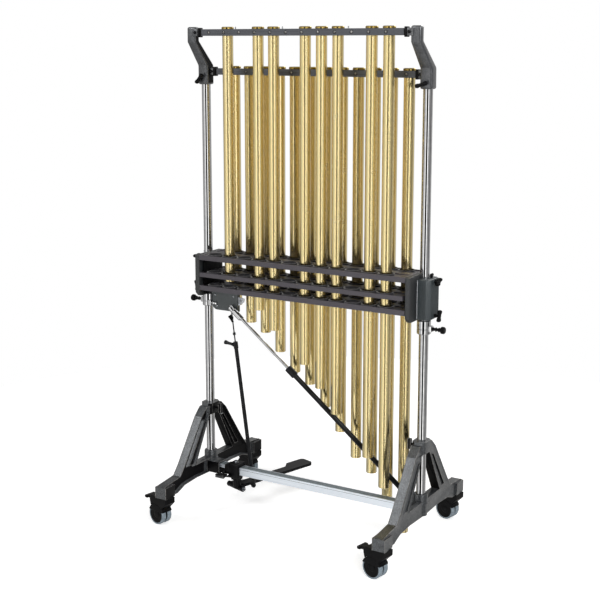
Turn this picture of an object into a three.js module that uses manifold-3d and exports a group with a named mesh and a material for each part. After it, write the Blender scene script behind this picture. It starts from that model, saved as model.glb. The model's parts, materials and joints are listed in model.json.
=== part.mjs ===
// A set of tubular bells, C5 to G6: two rows of hanging brass tubes on a rolling stand
// with a sliding damper box and a foot pedal. Millimetres, +Z up. +Y is the player's side,
// where the pedal is, and the longest tube hangs toward +X.
import * as THREE from "three";
import { mergeVertices } from "three/addons/utils/BufferGeometryUtils.js";
import Module from "manifold-3d";

const wasm = await Module();
wasm.setup();

// Driving dimensions
const tubeCount = 20;
const tubePitch = 62.6;
const tubeDiameter = 38;
const tubeWall = 1.8;
const longestTube = 1605;
const semitonesPerHalving = 21.5;
const tubeFloorGap = 34;
const rowGap = 90;
const rowSetback = 21;
const upperRailRise = 136;
const postBesideTubes = 78.05;
const postDiameter = 32;
const postWall = 2;
const damperAboveShortest = 66.9;
const footReach = 290;
const wheelDiameter = 75;
const padAboveWheel = 31;
const crossbarHeight = 136;

// Clearances, and the overrun of every cut
const touchGap = 0.3;
const slideGap = 0.4;
const runningGap = 1;
const cutOverrun = 5;

// Facet counts
const tubeSides = 16;
const postSides = 20;
const wheelSides = 24;
const smallSides = 10;
const rodSides = 12;
const eyeSides = 16;
const pinSides = 8;
const arcSteps = 5;

// Tubes: cap, suspension hole and rows
const capRim = 2;
const capDiameter = tubeDiameter + 2 * capRim;
const capHeight = 16;
const capEdge = 2;
const capPlate = 6;
const capAboveRail = 8;
const hangerDiameter = 5;
const hangerHoleDiameter = 6.4;
const hangerDrop = 6;
const hangerPastTube = 2;
const middleSlotCount = 5.75;
const frontRowY = -rowSetback - rowGap / 2;
const backRowY = -rowSetback + rowGap / 2;

// Posts
const postX = middleSlotCount * tubePitch + postBesideTubes;
const postSpacing = 2 * postX;

// Rails: a flat bar in front of each row of tubes
const railHeight = 23;
const naturalRailHeight = tubeFloorGap + longestTube - railHeight - capAboveRail;
const accidentalRailHeight = naturalRailHeight + upperRailRise;
const railThickness = 3.5;
const railBeforeCap = 0.5;
const railSocketLength = 24;
const railSocketLip = 4;
const railSocketDepth = 16;
const railSocketAhead = 1;

// Top arms: an S-shaped casting on each post
const armSideWall = 5.5;
const armFrontWall = 4;
const armWidth = postDiameter + 2 * armSideWall;
const armLowerDepth = postDiameter + 2 * armFrontWall;
const armUpperDepth = 26;
const armUpperAhead = 14;
const armUpperSetForward = rowSetback + rowGap / 2 + armUpperAhead;
const armBelowNaturalRail = 35;
const armKneeAboveRail = 10;
const armElbowBelowRail = 22;
const armAboveAccidentalRail = 31;
const armCorner = 7;
const armBoreRoof = 12;
const innerArmFace = postSpacing / 2 - armWidth / 2;
const railHalfLength = innerArmFace - railSocketLength - touchGap;
const armHeadWidth = 37;

// Damper box: three trays between two end castings
const trayBarHeight = 18;
const middleTrayHeight = 16;
const trayEndWidth = 8;
const trayFrontThickness = 4;
const damperSlotGap = 8;
const damperSlotWidth = tubeDiameter + 2 * damperSlotGap;
const trayDepth = rowGap + damperSlotWidth + 2 * trayFrontThickness;
const damperHeight = tubeFloorGap + longestTube - tubeLength(tubeCount - 1) + damperAboveShortest;
const middleTrayRise = 49;
const topTrayRise = 111;
const endPlateThickness = 18;
const endPlateToPost = 26;
const endPlateInner = postX - endPlateToPost;
const endPlateBelow = 24;
const endPlateChamfer = 14;
const housingWidth = 62;
const housingDepth = 84;
const housingOutward = 6;
const housingCorner = 12;
const housingBelow = 20;
const housingAbove = 4;
const ledgeWidth = 9;
const ledgeHeight = 10;
const ledgeDepth = 70;
const middleTrayTravel = 7.5;
const postClearance = slideGap;

// Damper drive: bracket, crank and tongue
const bracketGap = 0.5;
const bracketLeft = endPlateInner - bracketGap;
const bracketWidth = 111;
const bracketDrop = 86;
const bracketThickness = 16;
const bracketRound = 20;
const bracketFrontY = -16;
const bracketBackY = bracketFrontY + bracketThickness;
const crankToPost = 56;
const crankPivotX = crankToPost - postX;
const crankRise = 32;
const crankReach = 36;
const crankPlate = 4;
const crankWidth = 14;
const crankPin = 6;
const crankShaft = 8;
const crankAboveBracketFoot = 7;
const tongueWidth = 18;
const tonguePlate = 4;
const tongueNotch = 8;
const tongueBelowPin = 8;
const tongueNotchDepth = 16;
const crankHeight = damperHeight - bracketDrop + crankAboveBracketFoot;
const crankY = bracketBackY + touchGap;
const tongueY = crankY + crankPlate + 1.5 * runningGap;
const rodEyeY = crankY + crankPlate + 5 * runningGap;

// Post clamps under the damper box
const clampRim = 8;
const clampDiameter = postDiameter + 2 * clampRim;
const clampHeight = 48;
const clampDrop = 8;
const knobNeck = 10;
const knobNeckLength = 38;
const knobGrip = 22;
const knobGripLength = 16;
const knobRise = 20;
const studDiameter = 12;
const studRise = 14;
const studReach = 46;
const studEndX = postX - studReach;

// T screws on the damper housings, and wing screws elsewhere
const screwShaft = 10;
const screwShaftLength = 14;
const screwHeadLength = 36;
const screwHeadThickness = 12;
const screwInset = 9;
const screwBite = 2;

// Feet: an A-frame casting with a pad at each end
const footWidth = 34;
const footHubSideWall = 9;
const footHubFrontWall = 17;
const footHubWidth = postDiameter + 2 * footHubSideWall;
const footHubDepth = postDiameter + 2 * footHubFrontWall;
const footHubHeight = 40;
const footHubTop = 388;
const footSocketWall = 7;
const footSocketDiameter = postDiameter + 2 * footSocketWall;
const footSocketTop = 186;
const footSocketFloor = 160;
const beamBulgeShare = 0.4;
const beamEndShare = 0.66;
const legFootShares = [0.75, 0.65];
const legKneeShare = 0.43;
const legKneeDrop = 60;
const legHeadShares = [1.2, 0.7];
const recessShares = [1.6, 4.2, 3.6, 2];
const padHeight = wheelDiameter + padAboveWheel;
const padWidth = 48;
const padDepth = 54;
const padThickness = 46;
const beamUnder = 122;
const beamTop = 175;
const windowTop = 344;
const windowTopHalf = 30;
const windowFootHalf = 122;
const legRecess = 7;
const legFlange = 9;
const stemHoleDiameter = 12;
const stemHoleDepth = 22;

// Crossbar and its two sockets on the feet
const crossbarDepth = 35;
const barBeforeTubes = 12;
const crossbarY = backRowY - tubeDiameter / 2 - barBeforeTubes - crossbarDepth / 2;
const crossbarTall = 29;
const socketWall = 7;
const socketReach = 53;
const barScrewReach = 40;
const crossbarInset = 16;
const crossbarHalf = postSpacing / 2 - footWidth / 2 - crossbarInset;

// Pedal: block on the crossbar, stalk, and a fixed axle that is turned a little in plan
const blockToPost = 124;
const blockLeft = postX - blockToPost;
const blockWidth = 51;
const blockWall = 10;
const blockFoot = 3;
const blockHead = 14;
const stalkInset = 1;
const stalkDepth = 34;
const axleToPost = 163;
const axleX = axleToPost - postX;
const axleAheadOfBar = 4;
const axleY = crossbarY - axleAheadOfBar;
const axleHeight = 80;
const axleTurn = -17.1 * Math.PI / 180;
const axleDiameter = 13;
const barrelDiameter = 21;
const barrelLength = 44;
const hubLength = 40;
const axleLength = 86;

// Pedal arm and plate, measured from the axle's right end along and square to the axle
const pedalArmRight = -25;
const pedalArmLeft = -63;
const pedalArmStart = 18;
const pedalArmBend = 60;
const pedalPlateStart = 284;
const pedalPlateEnd = 379;
const pedalPlateLeft = -88;
const pedalPlateCorner = 9;
const pedalThickness = 12;
const rodPinReach = 54;
const rodPinX = -3;
const rodPinDiameter = 8;
const rodPinEnd = 4;

// Pull rod from the pedal to the crank: a clevis, a tube and a thin rod that slides in it
const clevisEye = 18;
const clevisEyeWidth = 8;
const clevisPlate = 6;
const clevisRise = 20;
const clevisCheek = 14;
const crossPin = 6;
const rodFootEye = 15;
const rodFootPlate = 6;
const rodTubeDiameter = 11;
const rodBore = 6.4;
const rodDiameter = 5;
const rodTubeShare = 0.807;
const rodInsert = 190;
const rodClampDiameter = 17;
const rodClampLength = 22;
const rodWingLength = 30;
const rodWingThickness = 8;
const rodNut = 11;
const rodNutLength = 9;
const rodNutShare = 0.852;
const rodEyeOuter = 19;
const rodEyeInner = 13;
const rodEyeWidth = 5;
const rodEyePinExtra = 2.5;

// Diagonal brace from the bracket to the right foot
const braceBeforeBracket = 10;
const braceY = bracketFrontY - braceBeforeBracket;
const braceTopToPost = 118;
const braceTopX = braceTopToPost - postX;
const braceTopDrop = 70;
const braceFootToPost = 38;
const braceFootX = postX - braceFootToPost;
const braceFootHeight = 191;
const braceRodDiameter = 11;
const braceBore = 14;
const braceTubeDiameter = 18;
const braceSleeveDiameter = 27;
const braceSleeveLength = 38;
const braceTubeShare = 0.665;
const braceInsert = 150;
const braceFerruleDiameter = 17;
const braceFerruleLength = 44;
const braceEyeDiameter = 20;
const braceEyeWidth = 6;
const braceNeck = 14;
const bracePin = 8;
const bracePinHole = 9;
const earWidth = 26;
const earThickness = 7;
const earRoot = 12;
const earDrop = 8;
const earBite = 1;

// Casters, each turned a little on its swivel
const wheelWidth = 18;
const wheelSpacing = 8;
const casterWeb = 6;
const casterTrail = 28;
const casterTurn = -12 * Math.PI / 180;
const hoodWidth = 46;
const hoodFront = 26;
const hoodBack = 60;
const hoodTopDrop = touchGap;
const hoodSkirt = 20;
const hoodEdge = 8;
const hoodArchTurns = [0.74, 0.22];
const wheelClear = 2.5;
const stemDiameter = 11;
const stemLength = 20;
const wheelAxle = 10;
const wheelAxleHole = 10.8;
const webHub = 15;
const leverLength = 29;
const leverWidth = 30;
const leverPaddle = 14;
const leverPaddleWidth = 44;
const leverThickness = 10;
const leverDrop = 9;

// Materials, in the colours of the photograph
function finish(color, metalness, roughness) {
  return new THREE.MeshStandardMaterial({ color, metalness, roughness });
}

const brass = finish(0xb8932f, 1, 0.3);
const chrome = finish(0xd8dadc, 1, 0.08);
const castGrey = finish(0x6f6d70, 0.3, 0.6);
const darkBar = finish(0x4a464b, 0.4, 0.5);
const housingGrey = finish(0x3f4446, 0.2, 0.6);
const blackPlastic = finish(0x16171a, 0, 0.45);
const blackMetal = finish(0x1c1d1f, 0.5, 0.4);
const aluminium = finish(0xc9d0d8, 1, 0.3);
const tread = finish(0x7d8890, 0, 0.7);

// Solids from three.js geometry, and back; a body that is already a solid passes through
function solid(item) {
  if (!item.isBufferGeometry) return item;
  const plain = item.clone();
  plain.deleteAttribute("normal");
  plain.deleteAttribute("uv");
  const merged = mergeVertices(plain, 1e-5);
  return new wasm.Manifold(new wasm.Mesh({
    numProp: 3,
    vertProperties: new Float32Array(merged.attributes.position.array),
    triVerts: new Uint32Array(merged.index.array),
  }));
}

function geometryOf(body) {
  const shape = body.getMesh();
  const geometry = new THREE.BufferGeometry();
  geometry.setAttribute("position", new THREE.BufferAttribute(shape.vertProperties, 3));
  geometry.setIndex(new THREE.BufferAttribute(shape.triVerts, 1));
  geometry.computeVertexNormals();
  return geometry;
}

function joined(...items) {
  return items.map(solid).reduce((sum, body) => sum.add(body));
}

function cut(item, ...tools) {
  return tools.map(solid).reduce((rest, tool) => rest.subtract(tool), solid(item));
}

function node(name, shape, material) {
  const geometry = shape.isBufferGeometry ? shape : geometryOf(shape);
  const mesh = new THREE.Mesh(geometry, material);
  mesh.name = name;
  return mesh;
}

// Basic solids: a box from its limits, rods along an axis, and outlines pushed along an axis
function block([x0, x1], [y0, y1], [z0, z1]) {
  const geometry = new THREE.BoxGeometry(x1 - x0, y1 - y0, z1 - z0);
  geometry.translate((x0 + x1) / 2, (y0 + y1) / 2, (z0 + z1) / 2);
  return geometry;
}

function rod(diameter, from, to, sides = smallSides) {
  const start = new THREE.Vector3(...from);
  const span = new THREE.Vector3(...to).sub(start);
  const geometry = new THREE.CylinderGeometry(diameter / 2, diameter / 2, span.length(), sides);
  geometry.translate(0, span.length() / 2, 0);
  const up = new THREE.Vector3(0, 1, 0);
  geometry.applyQuaternion(new THREE.Quaternion().setFromUnitVectors(up, span.normalize()));
  geometry.translate(start.x, start.y, start.z);
  return geometry;
}

function outline(points) {
  return new THREE.Shape(points.map(([a, b]) => new THREE.Vector2(a, b)));
}

// The outline's points are (y, z) pairs
function slabX(points, x0, x1) {
  const geometry = new THREE.ExtrudeGeometry(outline(points), { depth: x1 - x0, bevelEnabled: false });
  const turn = new THREE.Matrix4().makeBasis(
    new THREE.Vector3(0, 1, 0), new THREE.Vector3(0, 0, 1), new THREE.Vector3(1, 0, 0));
  geometry.applyMatrix4(turn);
  geometry.translate(x0, 0, 0);
  return geometry;
}

// The outline's points are (x, z) pairs
function slabY(points, y0, y1) {
  const geometry = new THREE.ExtrudeGeometry(outline(points), { depth: y1 - y0, bevelEnabled: false });
  geometry.rotateX(Math.PI / 2);
  geometry.translate(0, y1, 0);
  return geometry;
}

// The outline's points are (x, y) pairs
function slabZ(points, z0, z1) {
  const geometry = new THREE.ExtrudeGeometry(outline(points), { depth: z1 - z0, bevelEnabled: false });
  geometry.translate(0, 0, z0);
  return geometry;
}

function chamferedRectangle(halfX, halfY, corner) {
  return [
    [halfX, -halfY + corner], [halfX, halfY - corner], [halfX - corner, halfY], [-halfX + corner, halfY],
    [-halfX, halfY - corner], [-halfX, -halfY + corner], [-halfX + corner, -halfY], [halfX - corner, -halfY],
  ];
}

function arc(centre, radius, fromAngle, toAngle, steps) {
  return Array.from({ length: steps + 1 }, (_, i) => {
    const angle = fromAngle + (toAngle - fromAngle) * i / steps;
    return [centre[0] + radius * Math.cos(angle), centre[1] + radius * Math.sin(angle)];
  });
}

// A screw with a bar head: the shaft starts on a face and the head lies across it
function barScrew(start, direction, headAlong) {
  const along = new THREE.Vector3(...direction);
  const across = new THREE.Vector3(...headAlong);
  const from = new THREE.Vector3(...start).addScaledVector(along, -screwBite);
  const neck = new THREE.Vector3(...start).addScaledVector(along, screwShaftLength);
  const headMiddle = neck.clone().addScaledVector(along, screwHeadThickness / 2 - touchGap);
  const third = new THREE.Vector3().crossVectors(along, across);
  const head = new THREE.BoxGeometry(screwHeadThickness, screwHeadLength, screwHeadThickness);
  head.applyMatrix4(new THREE.Matrix4().makeBasis(along, across, third));
  head.translate(headMiddle.x, headMiddle.y, headMiddle.z);
  return joined(rod(screwShaft, from.toArray(), neck.toArray()), head);
}

// Tubes: each note's slot along the rails, counted in naturals from the lowest tube
const noteSlots = { c: 0, cs: 0.5, d: 1, ds: 1.5, e: 2, f: 3, fs: 3.5, g: 4, gs: 4.5, a: 5, as: 5.5, b: 6 };
const naturalsPerOctave = 7;
const lowestOctave = 5;

function slotX(slot) {
  return (middleSlotCount - slot) * tubePitch;
}

function noteOf(semitone) {
  const names = Object.keys(noteSlots);
  return names[semitone % names.length];
}

function isRaised(semitone) {
  return noteOf(semitone).length > 1;
}

function slotOf(semitone) {
  const octave = Math.floor(semitone / Object.keys(noteSlots).length);
  return noteSlots[noteOf(semitone)] + naturalsPerOctave * octave;
}

function tubeLength(semitone) {
  return longestTube * 2 ** (-semitone / semitonesPerHalving);
}

function bell(semitone) {
  const names = Object.keys(noteSlots);
  const octave = Math.floor(semitone / names.length);
  const note = noteOf(semitone);
  const raised = isRaised(semitone);
  const railBottom = raised ? accidentalRailHeight : naturalRailHeight;
  const top = railHeight + capAboveRail;
  const outer = tubeDiameter / 2;
  const cap = capDiameter / 2;
  const profile = [
    [0, top], [cap - capEdge, top], [cap, top - capEdge], [cap, top - capHeight], [outer, top - capHeight],
    [outer, top - tubeLength(semitone)], [outer - tubeWall, top - tubeLength(semitone)],
    [outer - tubeWall, top - capPlate], [0, top - capPlate],
  ];
  const lathe = new THREE.LatheGeometry(profile.reverse().map(([r, z]) => new THREE.Vector2(r, z)), tubeSides);
  lathe.rotateX(Math.PI / 2);
  const z = top - capHeight - hangerDrop;
  const hole = rod(hangerHoleDiameter, [0, -capDiameter, z], [0, capDiameter, z], pinSides);
  const mesh = node(`tube_${note}${lowestOctave + octave}`, cut(lathe, hole), brass);
  mesh.position.set(slotX(slotOf(semitone)), raised ? frontRowY : backRowY, railBottom);
  return mesh;
}

// Rails: a flat bar with a hanger pin behind it for each tube
function rail(name, bottom, rowY, semitones) {
  const back = rowY - capDiameter / 2 - railBeforeCap;
  const bar = block([-railHalfLength, railHalfLength], [back - railThickness, back],
    [bottom, bottom + railHeight]);
  const z = bottom + railHeight + capAboveRail - capHeight - hangerDrop;
  const pins = semitones.map((semitone) => {
    const x = slotX(slotOf(semitone));
    const reach = rowY + tubeDiameter / 2 + hangerPastTube;
    return rod(hangerDiameter, [x, back - railThickness / 2, z], [x, reach, z], pinSides);
  });
  return node(name, joined(bar, ...pins), darkBar);
}

// Posts run from the feet to the top arms
const postBottom = footSocketFloor + touchGap;
const postTop = naturalRailHeight + armKneeAboveRail + railHeight - armBoreRoof;

function post(name, side) {
  const outer = rod(postDiameter, [side * postX, 0, postBottom], [side * postX, 0, postTop], postSides);
  const bore = rod(postDiameter - 2 * postWall, [side * postX, 0, postBottom - cutOverrun],
    [side * postX, 0, postTop + cutOverrun], postSides);
  return node(name, cut(outer, bore), chrome);
}

// Top arms, with a socket for each rail and a wing screw onto the post
function topArm(name, side) {
  const knee = naturalRailHeight + railHeight + armKneeAboveRail;
  const elbow = accidentalRailHeight - armElbowBelowRail;
  const foot = naturalRailHeight - armBelowNaturalRail;
  const head = accidentalRailHeight + armAboveAccidentalRail;
  const low = armLowerDepth / 2;
  const front = -armUpperSetForward - armUpperDepth / 2;
  const back = -armUpperSetForward + armUpperDepth / 2;
  const profile = [
    [-low, foot], [low, foot], [low, knee], [low - armCorner, knee + armCorner],
    [back, elbow + armCorner], [back, head - armCorner], [back - armCorner, head],
    [front + armCorner, head], [front, head - armCorner], [front, elbow], [-low, knee],
  ];
  const inner = side * (postX - armWidth / 2);
  const outer = side * (postX + armWidth / 2);
  const body = slabX(profile, Math.min(inner, outer), Math.max(inner, outer));
  const shaved = [inner + side * armHeadWidth, outer + side * cutOverrun].sort((a, b) => a - b);
  const shave = slabX([[front - cutOverrun, knee + armCorner], [-low, knee + armCorner], [low, elbow],
    [low, head + cutOverrun], [front - cutOverrun, head + cutOverrun]], ...shaved);
  const reach = [inner - side * railSocketLength, inner + side * cutOverrun].sort((a, b) => a - b);
  const sockets = [[frontRowY, accidentalRailHeight], [backRowY, naturalRailHeight]].map(([rowY, bottom]) => {
    const face = rowY - capDiameter / 2 - railBeforeCap - railThickness - railSocketAhead;
    return block(reach, [face, face + railSocketDepth],
      [bottom - railSocketLip, bottom + railHeight + railSocketLip]);
  });
  const bore = rod(postDiameter + 2 * postClearance, [side * postX, 0, foot - cutOverrun],
    [side * postX, 0, postTop + touchGap], postSides);
  const screw = barScrew([side * postX, -low, foot + screwHeadThickness + screwShaft / 2],
    [0, -1, 0], [1, 0, 0]);
  return node(name, joined(cut(joined(cut(body, shave), ...sockets), bore), screw), castGrey);
}

// Damper trays: a frame with one long slot for each row of tubes
const trayMiddleY = -rowSetback;

function trayBody(bottom, height, x0, x1) {
  const frameBox = block([x0, x1], [trayMiddleY - trayDepth / 2, trayMiddleY + trayDepth / 2],
    [bottom, bottom + height]);
  const slots = [frontRowY, backRowY].map((rowY) => block([x0 + trayEndWidth, x1 - trayEndWidth],
    [rowY - damperSlotWidth / 2, rowY + damperSlotWidth / 2],
    [bottom - cutOverrun, bottom + height + cutOverrun]));
  return cut(frameBox, ...slots);
}

function fixedTray(name, bottom) {
  const half = endPlateInner - touchGap;
  return node(name, trayBody(bottom, trayBarHeight, -half, half), darkBar);
}

// The middle tray slides toward +X when the pedal goes down; a notched tongue hangs from it
function middleTray() {
  const bottom = damperHeight + middleTrayRise;
  const left = -endPlateInner + runningGap;
  const right = endPlateInner - runningGap - middleTrayTravel;
  const pinHeight = crankHeight + crankRise;
  const sides = [crankPivotX - tongueWidth / 2, crankPivotX + tongueWidth / 2];
  const tongue = block(sides, [tongueY, tongueY + tonguePlate],
    [pinHeight - tongueBelowPin, bottom + middleTrayHeight]);
  const link = block(sides, [trayMiddleY, tongueY + tonguePlate / 2], [bottom, bottom + middleTrayHeight]);
  const notch = block([crankPivotX - tongueNotch / 2, crankPivotX + tongueNotch / 2],
    [tongueY - cutOverrun, tongueY + tonguePlate + cutOverrun],
    [pinHeight - tongueBelowPin - cutOverrun, pinHeight - tongueBelowPin + tongueNotchDepth]);
  const tray = joined(trayBody(bottom, middleTrayHeight, left, right), link, tongue);
  return node("damper_middle_tray", cut(tray, notch), darkBar);
}

// Damper ends: a cheek, a housing round the post, a ledge for the middle tray and two T screws
function damperEnd(name, side) {
  const top = damperHeight + topTrayRise + trayBarHeight;
  const bottom = damperHeight - endPlateBelow;
  const front = trayMiddleY - trayDepth / 2;
  const back = trayMiddleY + trayDepth / 2;
  const cheekOutline = [
    [front, bottom + endPlateChamfer], [front + endPlateChamfer, bottom],
    [back - endPlateChamfer, bottom], [back, bottom + endPlateChamfer], [back, top], [front, top],
  ];
  const cheekSides = [side * endPlateInner, side * (endPlateInner + endPlateThickness)].sort((a, b) => a - b);
  const cheek = slabX(cheekOutline, ...cheekSides);
  const housing = slabZ(chamferedRectangle(housingWidth / 2, housingDepth / 2, housingCorner),
    damperHeight - housingBelow, damperHeight + topTrayRise + housingAbove);
  housing.translate(side * (postX + housingOutward), 0, 0);
  const ledgeSides = [side * (endPlateInner + runningGap), side * (endPlateInner - ledgeWidth)]
    .sort((a, b) => a - b);
  const ledgeTop = damperHeight + middleTrayRise - touchGap;
  const ledge = block(ledgeSides, [trayMiddleY - ledgeDepth / 2, trayMiddleY + ledgeDepth / 2],
    [ledgeTop - ledgeHeight, ledgeTop]);
  const bore = rod(postDiameter + 2 * postClearance, [side * postX, 0, bottom - 2 * cutOverrun],
    [side * postX, 0, top + cutOverrun], postSides);
  const face = side * (postX + housingOutward + housingWidth / 2);
  const upper = barScrew([face, 0, damperHeight + topTrayRise + housingAbove - screwInset],
    [side, 0, 0], [0, 1, 0]);
  const lower = barScrew([face, 0, damperHeight - housingBelow + screwInset], [side, 0, 0], [0, 0, 1]);
  return node(name, joined(cut(joined(cheek, housing, ledge), bore), upper, lower), housingGrey);
}

// Post clamps: a sleeve with a hand knob, and on the left a stud across the bracket
const clampWall = (clampDiameter - postDiameter) / 2 - postClearance;

function postClamp(name, side) {
  const top = damperHeight - housingBelow - clampDrop;
  const bottom = top - clampHeight;
  const axis = [side * postX, 0];
  const sleeve = rod(clampDiameter, [...axis, bottom], [...axis, top], postSides);
  const bore = rod(postDiameter + 2 * postClearance, [...axis, bottom - cutOverrun],
    [...axis, top + cutOverrun], postSides);
  const z = bottom + knobRise;
  const rim = postX + clampDiameter / 2;
  const neck = rod(knobNeck, [side * (rim - clampWall / 2), 0, z], [side * (rim + knobNeckLength), 0, z]);
  const grip = rod(knobGrip, [side * (rim + knobNeckLength - touchGap), 0, z],
    [side * (rim + knobNeckLength + knobGripLength), 0, z], eyeSides);
  const parts = [cut(sleeve, bore), neck, grip];
  if (side < 0) {
    const y = bracketFrontY - touchGap - studDiameter / 2;
    parts.push(rod(studDiameter, [-postX, y, bottom + studRise], [-studEndX, y, bottom + studRise]));
  }
  return node(name, joined(...parts), chrome);
}

// Bracket under the damper box, with the crank's shaft behind it and the brace's pin in front
function damperBracket() {
  const top = damperHeight - touchGap;
  const bottom = damperHeight - bracketDrop;
  const right = -bracketLeft + bracketWidth;
  const plate = slabY([
    [-bracketLeft, top], ...arc([-bracketLeft + bracketRound, bottom + bracketRound], bracketRound,
      Math.PI, 1.5 * Math.PI, arcSteps), [right, bottom], [right, top],
  ], bracketFrontY, bracketBackY);
  const shaft = rod(crankShaft, [crankPivotX, bracketFrontY + bracketThickness / 2, crankHeight],
    [crankPivotX, crankY + crankPlate + runningGap, crankHeight]);
  const pin = rod(bracePin, [braceTopX, bracketFrontY + bracketThickness / 2, braceTopHeight],
    [braceTopX, braceY - braceEyeWidth / 2 - runningGap, braceTopHeight]);
  return node("damper_bracket", joined(plate, shaft, pin), housingGrey);
}

// Crank: the pull rod turns it, and its upper pin pushes the tongue
function crank() {
  const strip = (from, to) => {
    const along = new THREE.Vector2(to[0] - from[0], to[1] - from[1]);
    const angle = along.angle();
    return slabY([
      ...arc(from, crankWidth / 2, angle + Math.PI / 2, angle + 1.5 * Math.PI, arcSteps),
      ...arc(to, crankWidth / 2, angle - Math.PI / 2, angle + Math.PI / 2, arcSteps),
    ], crankY, crankY + crankPlate);
  };
  const pivot = [crankPivotX, crankHeight];
  const upper = [crankPivotX, crankHeight + crankRise];
  const lower = [crankPivotX + crankReach, crankHeight];
  const bore = rod(crankShaft + 2 * slideGap, [crankPivotX, crankY - cutOverrun, crankHeight],
    [crankPivotX, crankY + crankPlate + cutOverrun, crankHeight]);
  const upperPin = rod(crankPin, [upper[0], crankY + crankPlate / 2, upper[1]],
    [upper[0], tongueY + tonguePlate + runningGap, upper[1]]);
  const lowerPin = rod(crankPin, [lower[0], crankY + crankPlate / 2, lower[1]],
    [lower[0], rodEyeY + rodEyeWidth / 2 + rodEyePinExtra, lower[1]]);
  const plates = cut(joined(strip(pivot, upper), strip(pivot, lower)), bore);
  return node("damper_crank", joined(plates, upperPin, lowerPin), blackMetal);
}

// Feet: hub round the post, legs, base beam, pads, crossbar socket and, on the right, the brace's ear
function foot(name, side) {
  const legTop = footHubTop - footHubHeight / 4;
  const padTop = padHeight + padThickness;
  const right = [
    [0, beamUnder], [footReach * beamBulgeShare, beamUnder + legFlange / 2],
    [footReach * beamEndShare, beamUnder],
    [footReach - padDepth, padHeight], [footReach + padDepth / 2, padHeight],
    [footReach + padDepth / 2, padTop - legFlange / 2], [footReach + padDepth / 3, padTop],
    [footReach - padDepth / 2, padTop + legFlange / 2], [footReach * legFootShares[0], padTop + legFlange],
    [footReach * legFootShares[1], beamTop + footHubHeight / 2],
    [footReach * legKneeShare, windowTop - legKneeDrop],
    [footHubDepth * legHeadShares[0], windowTop + legFlange / 2], [footHubDepth * legHeadShares[1], legTop],
  ];
  const profile = [...right, ...right.slice(1).reverse().map(([y, z]) => [-y, z])];
  const windowOutline = [
    [windowTopHalf, windowTop], [-windowTopHalf, windowTop],
    [-windowFootHalf, beamTop], [windowFootHalf, beamTop],
  ];
  const x0 = side * postX - footWidth / 2;
  const x1 = side * postX + footWidth / 2;
  const frame = cut(slabX(profile, x0, x1), slabX(windowOutline, x0 - cutOverrun, x1 + cutOverrun));
  const hub = slabZ(chamferedRectangle(footHubWidth / 2, footHubDepth / 2, footHubWidth / 4),
    footHubTop - footHubHeight, footHubTop);
  hub.translate(side * postX, 0, 0);
  const socket = rod(footSocketDiameter, [side * postX, 0, beamUnder],
    [side * postX, 0, footSocketTop], postSides);
  const pads = [-1, 1].map((end) => block([side * postX - padWidth / 2, side * postX + padWidth / 2],
    [end * footReach - padDepth / 2, end * footReach + padDepth / 2],
    [padHeight, padTop - legFlange / 2]));
  const inner = side * (postX - footWidth / 2);
  const socketX = [inner + side * cutOverrun, inner - side * socketReach].sort((a, b) => a - b);
  const barSocket = block(socketX,
    [crossbarY - crossbarDepth / 2 - socketWall, crossbarY + crossbarDepth / 2 + socketWall],
    [crossbarHeight - socketWall, crossbarHeight + crossbarTall + socketWall]);
  const barX = [side * (crossbarHalf + touchGap), side * (postX - footWidth - 2 * socketReach)]
    .sort((a, b) => a - b);
  const barHole = block(barX,
    [crossbarY - crossbarDepth / 2 - touchGap, crossbarY + crossbarDepth / 2 + touchGap],
    [crossbarHeight - touchGap, crossbarHeight + crossbarTall + touchGap]);
  const postHole = rod(postDiameter + 2 * postClearance, [side * postX, 0, footSocketFloor],
    [side * postX, 0, footHubTop + cutOverrun], postSides);
  const stemHoles = [-1, 1].map((end) => rod(stemHoleDiameter,
    [side * postX, end * footReach, padHeight - cutOverrun],
    [side * postX, end * footReach, padHeight + stemHoleDepth]));
  const recesses = [-1, 1].flatMap((end) => [x0 - cutOverrun, x1 - legRecess].map((x) => slabX([
    [end * (windowFootHalf + recessShares[0] * legFlange), beamTop + legFlange],
    [end * (windowTopHalf + recessShares[3] * legFlange), windowTop - 2 * legFlange],
    [end * (windowTopHalf + recessShares[2] * legFlange), windowTop - 2 * legFlange],
    [end * (windowFootHalf + recessShares[1] * legFlange), beamTop + legFlange],
  ], x, x + cutOverrun + legRecess)));
  const hubScrew = barScrew([side * (postX - footHubWidth / 2), 0, footHubTop - footHubHeight / 2],
    [-side, 0, 0], [0, 0, 1]);
  const barScrewX = inner - side * barScrewReach;
  const underScrew = barScrew([barScrewX, crossbarY, crossbarHeight - socketWall], [0, 0, -1], [1, 0, 0]);
  const casting = [frame, hub, socket, ...pads, barSocket];
  if (side > 0) casting.push(braceEar());
  const holed = cut(joined(...casting), postHole, barHole, ...stemHoles, ...recesses);
  return node(name, joined(holed, hubScrew, underScrew), castGrey);
}

// Ear on the right foot that carries the brace's lower pin
function braceEar() {
  const z = braceFootHeight;
  const earY = [braceY + braceEyeWidth / 2 + runningGap,
    braceY + braceEyeWidth / 2 + runningGap + earThickness];
  const ear = slabY([
    [postX - footWidth / 2 + earBite, beamUnder + earRoot], [postX - footWidth / 2 + earBite, z + earWidth / 2],
    ...arc([braceFootX, z], earWidth / 2, Math.PI / 2, Math.PI, arcSteps),
    [braceFootX - earWidth / 2, z - earDrop],
  ], ...earY);
  const pin = rod(bracePin, [braceFootX, earY[0] + earThickness / 2, z],
    [braceFootX, braceY - braceEyeWidth / 2 - runningGap, z]);
  return joined(ear, pin);
}

// Crossbar between the feet
function crossbar() {
  return node("crossbar", block([-crossbarHalf, crossbarHalf],
    [crossbarY - crossbarDepth / 2, crossbarY + crossbarDepth / 2],
    [crossbarHeight, crossbarHeight + crossbarTall]), aluminium);
}

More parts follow.
